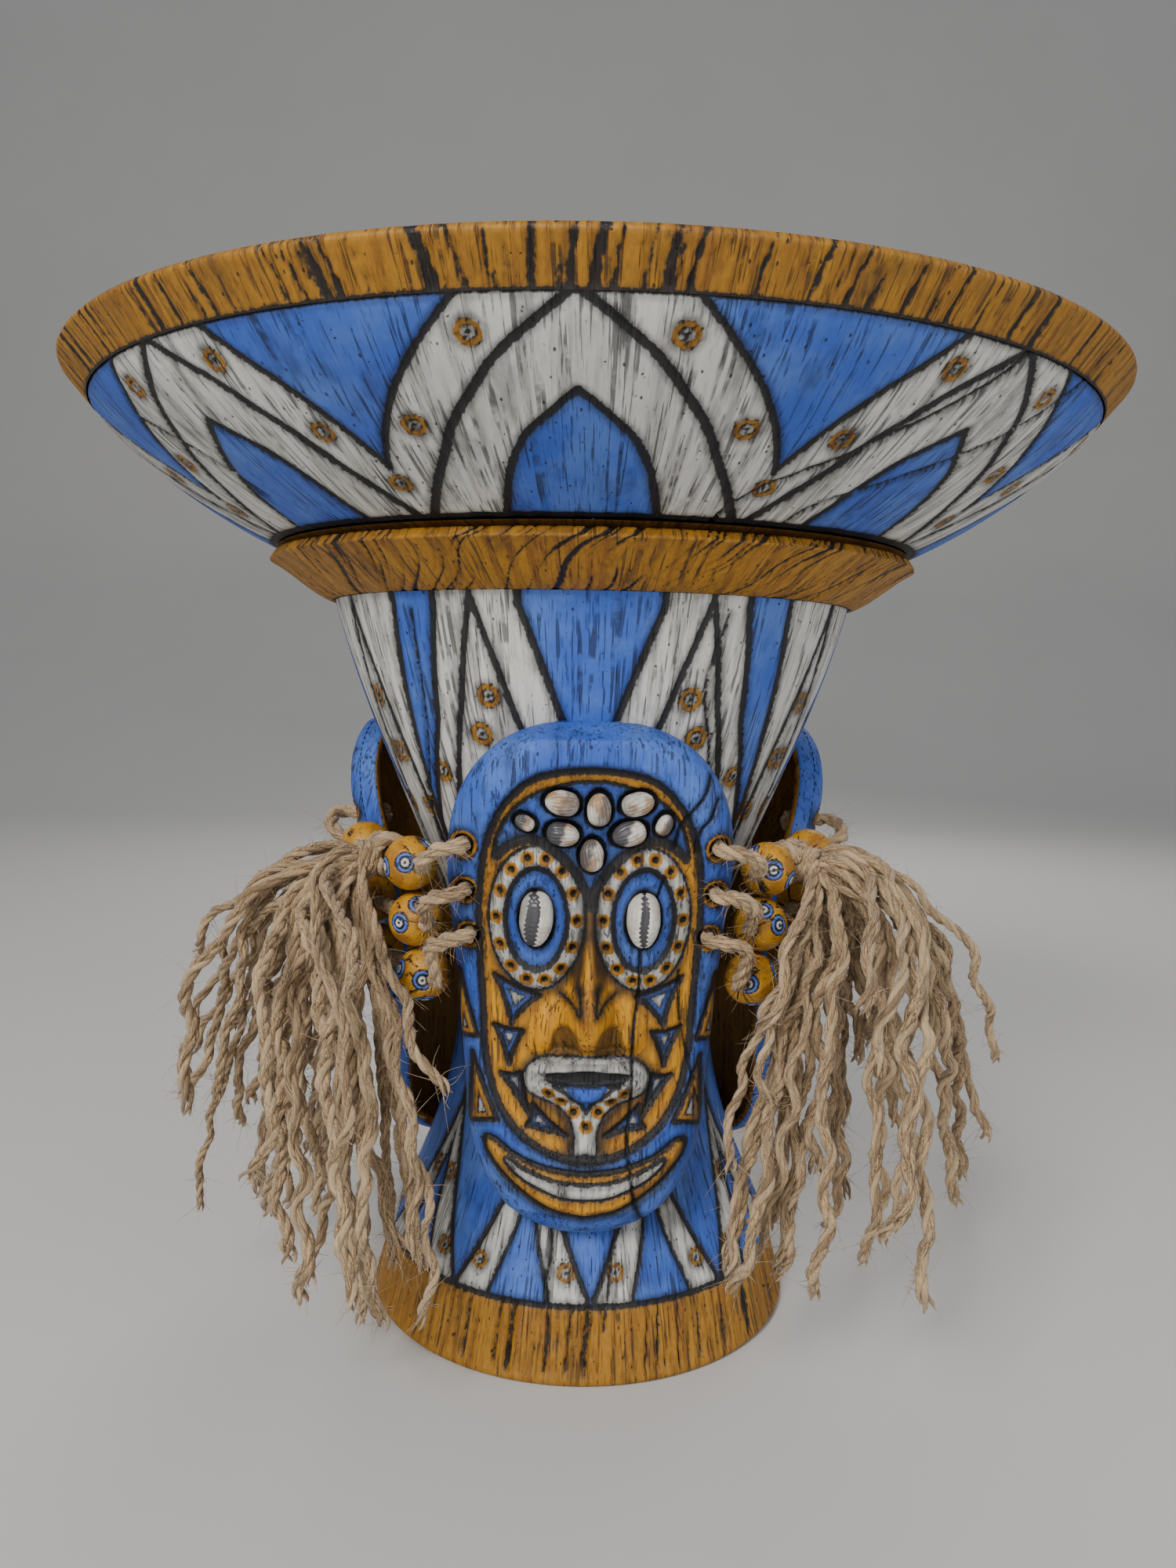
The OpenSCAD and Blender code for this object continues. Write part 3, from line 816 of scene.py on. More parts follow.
def turned_ellipse(x, z, spot):
    """Distance to the rim of a forehead shell's seat."""
    cx, cz, angle, long = spot
    a = math.radians(angle)
    across = (x - cx) * math.cos(a) - (z - cz) * math.sin(a)
    along = (x - cx) * math.sin(a) + (z - cz) * math.cos(a)
    return ellipse(across, along, 0, 0, 0.36 * long + 0.3, 0.5 * long + 0.5)


def outline_gap(ax, z, half, per=5):
    """Signed distance to a closed outline that is given by its right half."""
    return signed(ax, z, mirrored(spline(half, per=per)))


def carve_margin(paint, ax, z):
    """Ochre spikes with white hearts, on the margin outside the face."""
    high = np.zeros(ax.shape)
    for corners in MARGIN_SPIKES:
        spike = signed(ax, z, spiky(corners, 0.08))
        paint.ochre_over(spike)
        paint.line(np.abs(spike), 2.0)
        paint.white_over(spike + 2.7)
        paint.line(np.abs(spike + 2.7), 0.6)
        high += 0.6 * smoothstep(0.0, -1.5, spike)
    return high


def carve_smile(paint, ax, z, face):
    """The wide grin under the face, with painted shade and soot above and below it."""
    smile = outline_gap(ax, z, SMILE)
    teeth = outline_gap(ax, z, TEETH)
    paint.ochre_over(smile)
    paint.line(np.abs(smile), 2.0)
    paint.white_over(teeth)
    paint.line(np.abs(teeth), 1.4)
    below = smoothstep(5.0, 0.0, smile) * smoothstep(-0.5, 0.5, smile) * smoothstep(78, 70, z)
    above = smoothstep(4.0, 0.0, face) * smoothstep(96, 84, z) * smoothstep(-0.5, 0.5, face)
    # painted shade under the raised grin and under the face's lower edge, with soot in it
    paint.shade += 0.75 * below
    paint.shade += 0.45 * above
    return 2.2 * smoothstep(0.5, -3.5, smile) + 0.6 * smoothstep(0.0, -1.0, teeth)


def carve_brow(paint, ax, z):
    """The blue forehead between the face's edge and the brow arcs."""
    top, arc = spline(BROW_TOP, per=5), spline(BROW_ARC, per=5)
    brow = signed(ax, z, mirrored(np.vstack([top, arc])))
    near_arc = distance(ax, z, arc)
    paint.blue_over(brow)
    paint.line(distance(ax, z, top), 1.5)
    paint.line(near_arc, 3.4)
    paint.shade += 0.6 * smoothstep(5.5, 1.5, near_arc) * (brow < 0)
    return -0.9 * smoothstep(0.5, -2.0, brow)


def carve_eyes(paint, ax, z):
    """White rings with ochre dots round blue hollows, each with a cowrie's seat."""
    ring = ellipse(ax, z, *EYE, 16.3, 25.6)
    iris = ellipse(ax, z, *EYE, 10.4, 18.0)
    seat = ellipse(ax, z, *EYE, 6.3, 10.6)
    paint.shade += 0.9 * smoothstep(4.5, 0.0, ring) * smoothstep(158.0, 146.0, z) * (ring > -0.3)
    between = smoothstep(6.0, 1.0, ax) * smoothstep(154.0, 163.0, z) * smoothstep(178.0, 171.0, z)
    paint.shade += 0.9 * between
    paint.white_over(ring)
    paint.line(np.abs(ring), 1.0)
    paint.line(np.abs(iris), 1.9)
    paint.blue_over(iris)
    # the black ring round the seat is painted shade in the gap between the cowrie and the mask
    paint.line(np.abs(seat + 0.4), 1.6)
    high = 2.2 * smoothstep(0.5, -5.0, ring)
    high -= 1.8 * smoothstep(0.6, -1.6, iris) + 2.0 * smoothstep(0.6, -1.2, seat)
    for k in range(EYE_DOTS):
        turn = TURN * (k + 0.5) / EYE_DOTS
        gap = np.hypot(ax - EYE[0] - 13.6 * math.sin(turn), z - EYE[1] - 22.0 * math.cos(turn))
        paint.ochre_over(gap - 2.5)
        paint.black_over(gap - 1.15)
        high -= 1.3 * smoothstep(1.6, 0.5, gap)
    return high


def carve_nose(paint, ax, z):
    """The nose, its nostrils and the muzzle."""
    width = np.interp(z, (118, 122, 127, 134, 142, 150, 158, 172), (9, 11.5, 12.5, 12, 8.5, 6.0, 4.6, 4.4))
    rise = np.interp(z, (117, 120, 124, 129, 134, 142, 152, 160, 170, 178),
                     (0, 4, 8.5, 11.5, 12.5, 10, 7, 4.6, 2, 0))
    muzzle = outline_gap(ax, z, MUZZLE)
    nostril = np.maximum(ellipse(ax, z, 7.4, 119.5, 5.0, 9.8), 118.3 - z)
    mark = distance(ax, z, spline([(9.5, 138.6), (5, 136.6), (3.1, 134.3), (2.6, 137), (3.3, 142)], per=4))
    side = distance(ax, z, spline([(3.3, 142), (3.4, 150), (2.4, 160)], per=4))
    paint.shade += 0.85 * smoothstep(1.2, -0.9, nostril)
    paint.line(mark, 1.1)
    paint.shade += 0.5 * smoothstep(3.5, 0.0, mark)
    paint.shade += 0.75 * smoothstep(3.6, 0.3, side)
    paint.shade += 0.55 * smoothstep(4.5, 0.0, np.abs(muzzle)) * (muzzle > 0) * smoothstep(139.0, 128.0, z)
    high = rise * (1.0 - smoothstep(0.12, 1.0, ax / width) ** 0.8)
    return high + 3.2 * smoothstep(1.5, -7.0, muzzle) - 1.8 * smoothstep(0.8, -1.6, nostril)


def carve_mouth(paint, ax, z):
    """The lips, and the dotted stripe down the chin."""
    lips = outline_gap(ax, z, LIPS)
    lower = outline_gap(ax, z, LOWER_LIP, per=4)
    mouth = ellipse(ax, z, 0, 110.0, 16.8, 2.9)
    paint.shade += 0.8 * smoothstep(5.5, 0.0, lips) * (lips > -0.3) * smoothstep(119.0, 113.0, z)
    paint.shade += 0.45 * smoothstep(9.0, 2.0, lips) * (lips > 0) * smoothstep(101.0, 95.0, z)
    paint.white_over(lips)
    paint.line(np.abs(lips), 0.8)
    paint.blue_over(lower)
    paint.line(distance(ax, z, spline(LIP_GROOVE, per=5)), 1.5)
    paint.black_over(mouth + 0.2)
    high = 5.4 * smoothstep(1.0, -5.0, ellipse(ax, z, 0, 110.0, 22.5, 9.5))
    high += 1.0 * smoothstep(0.5, -1.5, lips)
    high -= 3.4 * smoothstep(0.8, -1.6, mouth)
    for cx, cz in LIP_DOTS:
        gap = np.hypot(ax - cx, z - cz)
        paint.ochre_over(gap - 2.4)
        paint.black_over(gap - 1.1)
        high -= 1.0 * smoothstep(1.5, 0.5, gap)
    return high


def carve_cheeks(paint, ax, z):
    """Blue spikes with white hearts, on the cheeks."""
    high = np.zeros(ax.shape)
    for corners in CHEEK_SPIKES:
        spike = signed(ax, z, spiky(corners))
        core = spike - 0.64 * spike.min()
        paint.blue_over(spike)
        paint.line(np.abs(spike), 1.9)
        paint.white_over(core)
        paint.line(np.abs(core), 0.5)
        high -= 0.9 * smoothstep(0.6, -0.8, spike)
    return high


def cut_seats(paint, x, z):
    """Depth of the forehead shells' seats."""
    depth = np.zeros(x.shape)
    for spot in BROW_SPOTS:
        rim = turned_ellipse(x, z, spot)
        # black round each shell: painted shade in the gap between the shell and its seat
        paint.black_over(rim - 0.75)
        depth += 1.8 * smoothstep(0.6, -0.6, rim)
    return depth


def cut_holes(paint, ax, z):
    """Depth of the lacing holes, which have ochre rims."""
    depth = np.zeros(ax.shape)
    for height in LACE_Z.values():
        gap = np.hypot(ax - mask_w(height) + HOLE_INSET, z - height)
        paint.ochre_over(gap - 5.0)
        paint.line(np.abs(gap - 5.1), 0.6)
        # black inside the hole: painted shade in the hole's depth round the cord
        paint.black_over(gap - HOLE_R)
        depth += 5.5 * smoothstep(HOLE_R + 0.5, HOLE_R - 0.6, gap)
    return depth


def mask_surface(x, z, edge_in):
    """Paint, furrows and height in front of the mask's plain face."""
    paint = Paint(x.shape)
    ax = np.abs(x)
    face = outline_gap(ax, z, FACE)
    high = 1.2 * smoothstep(14.0, 5.0, face) * smoothstep(0.0, 2.5, face)
    high -= 1.7 * smoothstep(0.8, -3.0, face)
    high += carve_margin(paint, ax, z) + carve_smile(paint, ax, z, face)
    paint.ochre_over(face)
    paint.line(np.abs(face), 2.5)
    for carved in (carve_brow, carve_eyes, carve_nose, carve_mouth, carve_cheeks):
        high += carved(paint, ax, z)
    high -= cut_seats(paint, x, z) + cut_holes(paint, ax, z)
    furrow = furrows(x * 3.6, (z - CHIN_Z) * 2.0, 100, 131, 0.20)
    high -= 0.7 * smoothstep(0.6, -0.8, paint.black) + furrow
    for line, width in MASK_CRACKS:
        high -= crack(paint, x, z, np.array(line), width)
    round_off = np.clip(EDGE_R - edge_in, 0.0, EDGE_R)
    high -= EDGE_R - np.sqrt(np.maximum(EDGE_R ** 2 - round_off ** 2, 0.0))
    paint.shade = np.clip(paint.shade, 0.0, 1.0)
    return paint, furrow, high


EDGE_R = 7.5


def add_mask(name, rows, columns):
    """One carved mask. It is shaped as the front one, and then turned to its place."""
    u = np.linspace(-1.0, 1.0, rows)
    u = 0.55 * u + 0.45 * np.sin(u * math.pi / 2)
    z = ((CHIN_Z + CROWN_Z) / 2 + (CROWN_Z - CHIN_Z) / 2 * u)[:, None]
    w = np.maximum(mask_outline_w(z), 0.25)
    x = w * np.linspace(-1.0, 1.0, columns)[None, :]
    z = np.broadcast_to(z, x.shape)
    loop = np.vstack([np.stack([w[:, 0], z[:, 0]], 1), np.stack([-w[::-1, 0], z[::-1, 0]], 1)])
    edge_in = distance(x, z, np.vstack([loop[::3], loop[:1]]))
    paint, furrow, high = mask_surface(x, z, edge_in)
    points = np.stack([x, face_y(x, z) - high, z], -1)
    parts = Parts()
    parts.add(points, grid_faces(rows, columns, False), **paint_fields(paint, furrow, points))

    # side wall, back edge and hollow back
    along = np.gradient(loop, axis=0)
    along /= np.maximum(np.linalg.norm(along, axis=1), 1e-6)[:, None]
    inward = np.stack([-along[:, 1], along[:, 0]], 1)
    rings = ((0.0, EDGE_R), (0.0, 11.0), (0.0, MASK_DEPTH - 0.7), (0.7, MASK_DEPTH), (3.5, MASK_DEPTH),
             (3.5, BACK_DEPTH))
    wall = []
    for inset, back in rings:
        flat = loop + inset * inward
        wall.append(np.stack([flat[:, 0], face_y(loop[:, 0], loop[:, 1]) + back, flat[:, 1]], 1))
    wall = np.array(wall)
    plain = Paint(wall.shape[:2])
    plain.ochre[3:] = -5.0
    plain.shade[3:] = 0.5
    zero = np.zeros(wall.shape[:2])
    parts.add(wall, grid_faces(len(rings), len(loop), True), **paint_fields(plain, zero, wall))
    back = points[::6, ::6].copy()
    back[..., 0] *= 0.94
    back[..., 2] = 140.0 + (back[..., 2] - 140.0) * 0.97
    back[..., 1] = face_y(back[..., 0], back[..., 2]) + BACK_DEPTH
    plain, zero = Paint(back.shape[:2]), np.zeros(back.shape[:2])
    plain.ochre -= 40.0
    plain.shade += 0.5
    parts.add(back, grid_faces(*back.shape[:2], False)[:, ::-1], **paint_fields(plain, zero, back))
    piece = parts.build("carving_" + name, paint_material)
    place_as_mask(piece, name)
    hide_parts("mask_" + name)
    return piece


def place_as_mask(piece, name):
    piece.data.transform(Matrix.Rotation(math.radians(MASK_ANGLE[name]), 4, "Z"))
    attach(piece, "root")


for mask_name in MASK_ANGLE:
    add_mask(mask_name, 300 if mask_name == "front" else 210, 200 if mask_name == "front" else 140)


# ---------------------------------------------------------------- shells

COWRIE_L, COWRIE_R, BROW_SHELL_R = 19.2, 5.7, 3.9
TOOTH = 0.62        # teeth of a cowrie in each millimetre
SHELL_SHAPE = np.array([(0.02, -0.5), (0.36, -0.48), (0.62, -0.43), (0.83, -0.34), (0.95, -0.22), (1, 0.02),
                        (0.94, 0.16), (0.78, 0.3), (0.58, 0.4), (0.36, 0.465), (0.02, 0.5)])


def shell_material(name, light, dark, ribbed):
    n = Nodes(name)
    grain = n.field("grain").outputs["Vector"]
    cloud = n.noise(grain, 0.16, 3.0)
    colour = n.mix(n.step(cloud, 0.40, 0.60), light, dark)
    speck = n.noise(n.stretched(grain, 1.0, 1.0, 0.4), 0.9, 4.0)
    colour = n.mix(n.times(n.step(speck, 0.5, 0.75), 0.45), colour, (0.20, 0.13, 0.08))
    colour = n.mix(n.amount("shade"), colour, (0.060, 0.060, 0.066))
    colour = n.mix(n.step(n.amount("black"), 0.2, -0.2), colour, (0.050, 0.050, 0.056))
    n.shader.inputs["Specular IOR Level"].default_value = 0.55
    height = n.math("MULTIPLY_ADD", speck, 0.5, n.amount("furrow"))
    return n.finish(colour, n.math("MULTIPLY_ADD", speck, 0.3, 0.22), height, 0.5, 0.3 if ribbed else 0.1)


def shell_body(length, radius, rows, columns):
    """An egg along Z: points, the angle round it, and the place along it from -1 to 1."""
    profile = spline(SHELL_SHAPE * [radius, length], per=max(2, rows // 10))
    angle = np.linspace(0, TURN, columns, endpoint=False)[None, :]
    r, z = profile[:, :1], profile[:, 1:]
    points = np.stack([r * np.sin(angle), -r * np.cos(angle), z + 0 * angle], -1)
    return points, np.broadcast_to(angle, points.shape[:2]), points[..., 2] / (length / 2)


def add_eye_shells(name, material):
    """Cowries with the toothed slit turned outward. The left one's slit is wide and to one side."""
    parts = Parts()
    for side in (-1, 1):
        points, angle, along = shell_body(COWRIE_L, COWRIE_R, 60, 96)
        points = points * [1.0, 1.0, -1.0]
        x, z = points[..., 0], points[..., 2]
        front = points[..., 1] < 0
        # the slit is sunk a little and painted near black: painted shade for the hollow inside the shell
        middle = -1.2 if side < 0 else 0.1
        half = (2.2 if side < 0 else 1.35) * np.sqrt(np.clip(1.0 - 0.95 * along ** 2, 0, 1))
        tooth = 1.1 * np.abs(((z * TOOTH) % 1.0) - 0.5) * 2
        gap = np.abs(x - middle - 0.25 * np.sin(z * 0.4)) - half - tooth + 0.4
        gap = np.where(front, gap, 5.0)
        sunk = 0.9 * smoothstep(0.6, -1.2, gap)
        points[..., 1] += sunk
        shade = 0.75 * smoothstep(-1.4, 1.2, -x) * (0.55 if side < 0 else 0.0) * front
        ridge = 0.35 * (np.abs(((z * TOOTH) % 1.0) - 0.5) * 2) * smoothstep(2.5, 0.3, gap) * front
        points[..., 1] -= ridge
        tilt = math.radians(3.5 if side < 0 else 0.0)
        turned_x = points[..., 0] * math.cos(tilt) + points[..., 2] * math.sin(tilt)
        turned_z = points[..., 2] * math.cos(tilt) - points[..., 0] * math.sin(tilt)
        place = np.array([side * EYE[0], face_y(*EYE) + 0.25 * COWRIE_R, EYE[1]])
        points = np.stack([turned_x, points[..., 1], turned_z], -1) + place
        faces = grid_faces(*angle.shape, True)[:, ::-1]
        parts.add(points, faces, black=gap, shade=shade, furrow=ridge, grain=points)
    finish_shells(parts, "cowries_" + name, material, name, "eye_shells_" + name)


def add_brow_shells(name, material):
    """Small ribbed shells laid in the forehead."""
    parts = Parts()
    rng = np.random.default_rng(5)
    for cx, cz, angle, long in BROW_SPOTS:
        points, around, along = shell_body(long - 0.8, 0.36 * long - 0.35, 50, 72)
        rib = np.abs(np.sin(around * 9 + 2.5 * along)) * smoothstep(1.0, 0.7, np.abs(along))
        scale = 1.0 + 0.035 * rib
        lip = 0.35 * smoothstep(0.9, 0.0, np.abs(around - 0.7 - 0.5 * along))
        lip *= smoothstep(1.0, 0.3, np.abs(along))
        points[..., 0] *= scale
        points[..., 1] *= scale
        points[..., 1] += lip
        a = math.radians(angle)
        x = points[..., 0] * math.cos(a) + points[..., 2] * math.sin(a)
        z = points[..., 2] * math.cos(a) - points[..., 0] * math.sin(a)
        place = np.array([cx, face_y(cx, cz) + 0.3 * BROW_SHELL_R - 0.4, cz])
        points = np.stack([x, points[..., 1], z], -1) + place
        tone = rng.uniform(0.25, 0.95)
        side = rng.choice([-1.0, 1.0])
        shade = tone * smoothstep(-0.8, 0.8, side * (x - 0.3 * z) + 0.4 * np.sin(2.0 * z)) + 0.25 * rib
        grain = points + rng.uniform(0, 300)
        parts.add(points, grid_faces(*around.shape, True), black=np.full(around.shape, 9.0), shade=shade,
                  furrow=rib, grain=grain)
    finish_shells(parts, "forehead_shells_" + name, material, name, "brow_shells_" + name)


def finish_shells(parts, piece_name, material, mask, node):
    piece = parts.build(piece_name, material)
    place_as_mask(piece, mask)
    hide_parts(node)


cowrie_material = shell_material("cowrie_shell", (0.74, 0.72, 0.66), (0.58, 0.55, 0.48), False)
sea_shell_material = shell_material("sea_shell", (0.72, 0.70, 0.64), (0.42, 0.27, 0.15), True)
for mask_name in MASK_ANGLE:
    add_eye_shells(mask_name, cowrie_material)
    add_brow_shells(mask_name, sea_shell_material)


# ---------------------------------------------------------------- beads

def bead_place(row):
    """A bead's middle in the back gap, whose direction out is +Y."""
    low, high = box_mm(f"bead_back_{row}_a")
    return np.round((low + high) / 2, 1)


BEAD_OUT = {row: bead_place(row)[1] for row in ROWS}
BEAD_Z = {row: bead_place(row)[2] for row in ROWS}
BEAD_T, BEAD_R, CORD_R = bead_place("upper")[0], 9.5, 2.9
EYE_R, PUPIL_R = 3.7, 0.55     # of a painted eye on a bead
# directions of the painted eyes on the bead at a gap's far end, as out, along and up
BEAD_EYES = {
    "upper": ((0.62, 0.76, 0.20), (0.95, -0.10, -0.35), (-0.5, 0.4, 0.7)),
    "middle": ((0.80, 0.50, -0.10), (0.35, 0.72, 0.62), (-0.6, -0.3, -0.6)),
    "lower": ((0.45, 0.86, -0.05), (0.93, -0.05, 0.30), (0.1, 0.2, -0.95))}


def gap_frame(side):
    """Directions out from the axis and along the bead row, in a gap between masks."""
    a = math.radians(SIDE_ANGLE[side] - 90.0)
    return np.array([math.cos(a), math.sin(a), 0.0]), np.array([-math.sin(a), math.cos(a), 0.0])


def in_gap(side, points):
    out, along = gap_frame(side)
    points = np.asarray(points, float)
    return points[..., :1] * out + points[..., 1:2] * along + points[..., 2:] * np.array([0.0, 0.0, 1.0])


def bead_material(name):
    n = Nodes(name)
    grain = n.field("grain").outputs["Vector"]
    fine = n.noise(n.stretched(grain, 0.12, 1.0, 1.0), 1.3, 4.0, 0.6)
    broad = n.noise(grain, 0.12, 3.0)
    wobble = n.math("MULTIPLY_ADD", n.noise(grain, 1.1, 3.0), 0.9, -0.45)

    def area(field):
        return n.step(n.plus(n.amount(field), wobble), 0.2, -0.2)

    colour = n.mix(n.step(broad, 0.42, 0.66), (0.60, 0.29, 0.012), (0.36, 0.15, 0.010))
    colour = n.mix(n.times(n.step(fine, 0.56, 0.70), 0.8), colour, (0.030, 0.018, 0.010))
    colour = n.mix(area("shade"), colour, (0.075, 0.17, 0.60))
    colour = n.mix(area("white"), colour, (0.62, 0.62, 0.60))
    colour = n.mix(area("black"), colour, CHARCOAL)
    groove = n.step(n.amount("black"), 0.3, -0.3)
    height = n.minus(n.times(fine, -0.9), groove)
    return n.finish(colour, n.math("MULTIPLY_ADD", broad, 0.3, 0.32), height, 0.6, 0.35)


def add_bead(side, row, end, material):
    """A turned bead with painted eyes. end is -1 for a and 1 for b."""
    rng = np.random.default_rng(sum(map(ord, side + row)) * 7 + end)
    bore = math.asin((CORD_R + 0.1) / BEAD_R)
    polar = np.concatenate([[bore], np.linspace(bore, math.pi - bore, 72), [math.pi - bore]])[:, None]
    around = np.linspace(0, TURN, 128, endpoint=False)[None, :]
    r = np.full(polar.shape, BEAD_R)
    r[0, 0] = r[-1, 0] = BEAD_R - 2.5
    edge = np.minimum(polar - bore, math.pi - bore - polar)
    r = r - 0.35 * smoothstep(0.12, 0.0, edge)
    unit = np.stack([np.sin(polar) * np.cos(around), np.cos(polar) + 0 * around,
                     np.sin(polar) * np.sin(around)], -1)
    flip = np.array([1.0, end, 1.0])
    eye = np.full(unit.shape[:2], 20.0)
    for direction in BEAD_EYES[row]:
        d = np.array(direction) * flip + rng.normal(0, 0.10, 3)
        d /= np.linalg.norm(d)
        eye = np.minimum(eye, BEAD_R * np.arccos(np.clip(unit @ d, -1, 1)))
    black = np.minimum(np.abs(eye - EYE_R) - 0.28, np.abs(eye - 2.0) - 0.42)
    black = np.minimum(black, eye - PUPIL_R)
    long, turn = np.degrees(polar) * 3 + 0 * around, np.degrees(around) + 0 * polar
    split = furrows(turn, long, 44, int(rng.integers(999)), 0.5)
    black = np.minimum(black, 1.05 - 2.2 * split)
    points = unit * (r - 0.35 * smoothstep(0.3, -0.3, black))[..., None]
    centre = np.array([BEAD_OUT[row], end * BEAD_T, BEAD_Z[row]])
    grain = unit * BEAD_R
    grain = np.stack([grain[..., 1], grain[..., 0], grain[..., 2]], -1) + rng.uniform(0, 200)
    letter = "b" if end > 0 else "a"
    body = f"bead_{side}_{row}_{letter}"
    parts = Parts()
    parts.add(in_gap(side, points + centre), grid_faces(*unit.shape[:2], True), white=eye - 1.65,
              shade=eye - EYE_R, black=black, grain=grain)
    piece = parts.build("painted_" + body, material)
    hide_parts(body)
    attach(piece, body)


bead_paint = bead_material("bead_paint")
for side in SIDES:
    for row in ROWS:
        for end in (-1, 1):
            add_bead(side, row, end, bead_paint)


# ---------------------------------------------------------------- jute

def jute_material(name):
    n = Nodes(name)
    grain = n.field("grain").outputs["Vector"]
    fibre = n.noise(n.stretched(grain, 1.0, 1.0, 0.04), 2.5, 4.0, 0.7)
    tone = n.amount("shade")
    broad = n.noise(n.stretched(grain, 0.3, 0.3, 1.0), 0.05, 2.0)
    # fibre streaks from near black to pale tan: fibre colour, with painted shade between the fibres and
    # painted highlights along them
    colour = n.mix(n.step(fibre, 0.40, 0.60), (0.105, 0.056, 0.024), (0.700, 0.480, 0.250))
    colour = n.mix(n.step(n.plus(tone, broad), 0.95, 1.75), colour, (0.72, 0.53, 0.31))
    colour = n.mix(n.step(n.plus(tone, broad), 0.95, 0.30), colour, (0.22, 0.125, 0.052))
    n.shader.inputs["Sheen Weight"].default_value = 0.25
    return n.finish(colour, n.math("MULTIPLY_ADD", fibre, 0.2, 0.68), fibre, 1.0, 0.6)


def carried_frame(path):
    """Directions along a path and two across it that don't spin."""
    ahead = np.gradient(path, axis=0)
    ahead /= np.maximum(np.linalg.norm(ahead, axis=1), 1e-9)[:, None]
    across = np.empty_like(path)
    start = np.cross(ahead[0], (0.31, 0.92, 0.23))
    across[0] = start / np.linalg.norm(start)
    for i in range(1, len(path)):
        v = across[i - 1] - across[i - 1].dot(ahead[i]) * ahead[i]
        across[i] = v / np.linalg.norm(v)
    return ahead, across, np.cross(ahead, across)


def path_length(path):
    return np.r_[0.0, np.cumsum(np.linalg.norm(np.diff(path, axis=0), axis=1))]


def resampled(path, step):
    s = path_length(path)
    t = np.linspace(0.0, s[-1], max(3, int(s[-1] / step) + 1))
    return np.stack([np.interp(t, s, path[:, k]) for k in range(3)], 1)


def yarn(parts, path, radius, plies, twist, sides, rng, spread_end=0.0):
    """Plies twisted round a path, one turn in each length of twist. The far end can come apart."""
    s = path_length(path)[:, None]
    _, a, b = carried_frame(path)
    q = np.linspace(0, TURN, sides, endpoint=False)[None, :]
    slow = TURN * s / twist + 1.3 * np.sin(s / 23.0 + rng.uniform(0, 6))
    for k in range(plies):
        phase = slow + TURN * k / plies
        loose = 1.0 + spread_end * smoothstep(s[-1] - 9.0, s[-1], s)
        off = radius * 0.50 * loose * (1.0 + 0.16 * np.sin(s / 6.0 + rng.uniform(0, 6)))
        thick = radius * 0.56 * (1.0 + 0.14 * np.sin(s / 4.1 + rng.uniform(0, 6)))
        thick = thick * (1.0 - 0.5 * (loose - 1.0) / max(spread_end, 1e-6) * (spread_end > 0))
        thick[0] = thick[-1] = 0.05
        centre = path + off * (np.cos(phase) * a + np.sin(phase) * b)
        lump = 1.0 + 0.10 * np.sin(3 * q + s / 3.0 + rng.uniform(0, 6))
        ring = thick * lump
        points = centre[:, None, :] + ring[..., None] * (np.cos(q)[..., None] * a[:, None, :]
                                                         + np.sin(q)[..., None] * b[:, None, :])
        spun = q + 0.9 * slow
        grain = np.stack([1.6 * np.cos(spun), 1.6 * np.sin(spun), s + 0 * q], -1) + rng.uniform(0, 900)
        tone = np.full(ring.shape, rng.uniform(0.15, 0.9))
        parts.add(points, grid_faces(len(path), sides, True), grain=grain, shade=tone)


def hairs(parts, path, count, rng, reach, length, keep=(0.0, 1.0), thick=0.11):
    """Loose curly fibres that stand off a path."""
    t = np.linspace(0, 1, 7)[:, None]
    q = np.linspace(0, TURN, 3, endpoint=False)
    for _ in range(count):
        i = int(rng.uniform(*keep) * (len(path) - 2))
        ahead = path[i + 1] - path[i]
        ahead /= np.linalg.norm(ahead)
        way = rng.normal(0, 1, 3)
        way -= 0.6 * way.dot(ahead) * ahead
        way /= np.linalg.norm(way)
        long = length * rng.uniform(0.4, 1.5)
        curl = rng.normal(0, 0.45, 3)
        line = path[i] + way * reach * 0.4 + long * (t * (0.55 * way + rng.choice([-0.6, 0.6]) * ahead)
                                                     + t * t * curl + (0, 0, -0.2) * t * t)
        _, a, b = carried_frame(line)
        size = thick * (1.0 - 0.7 * t)
        points = line[:, None, :] + size[..., None] * (np.cos(q)[None, :, None] * a[:, None, :]
                                                       + np.sin(q)[None, :, None] * b[:, None, :])
        grain = points + rng.uniform(0, 90)
        parts.add(points, grid_faces(7, 3, True), grain=grain, shade=np.full((7, 3), rng.uniform(0.5, 1.0)))


def hole_in_gap(row):
    """The front mask's lacing hole, in the frame of the gap beside it."""
    z = LACE_Z[row]
    x = float(mask_w(z)) - HOLE_INSET
    y = float(face_y(x, z))
    a = math.radians(MASK_TO_GAP)
    return np.array([x * math.sin(a) - y * math.cos(a), -x * math.cos(a) - y * math.sin(a), z])


def from_hole(row, forward, aside, up):
    a = math.radians(MASK_TO_GAP)
    return hole_in_gap(row) + (forward * math.cos(a) + aside * math.sin(a),
                               forward * math.sin(a) - aside * math.cos(a), up)


def lacing_route(row):
    """A lacing cord from one knot, through a mask, the beads and the next mask, to the other knot."""
    out, z = BEAD_OUT[row], BEAD_Z[row]
    half = [(out, 0, z), (out, 16, z), (out, 32, z), (out, 33.5, z)]
    half += [from_hole(row, *p) for p in (
        (0.5, 13.5, -5.5), (4.5, 9, -2), (6.2, 4.5, -0.5), (5.2, 1.2, 0), (2, 0, 0), (-7.5, 0, 0),
        (-10.5, -2, 0), (-14, -2.8, 0))]
    half = np.array(half, float)
    other = (half * [1, -1, 1])[:0:-1]
    return resampled(spline(np.vstack([other, half]), per=8), 0.9)


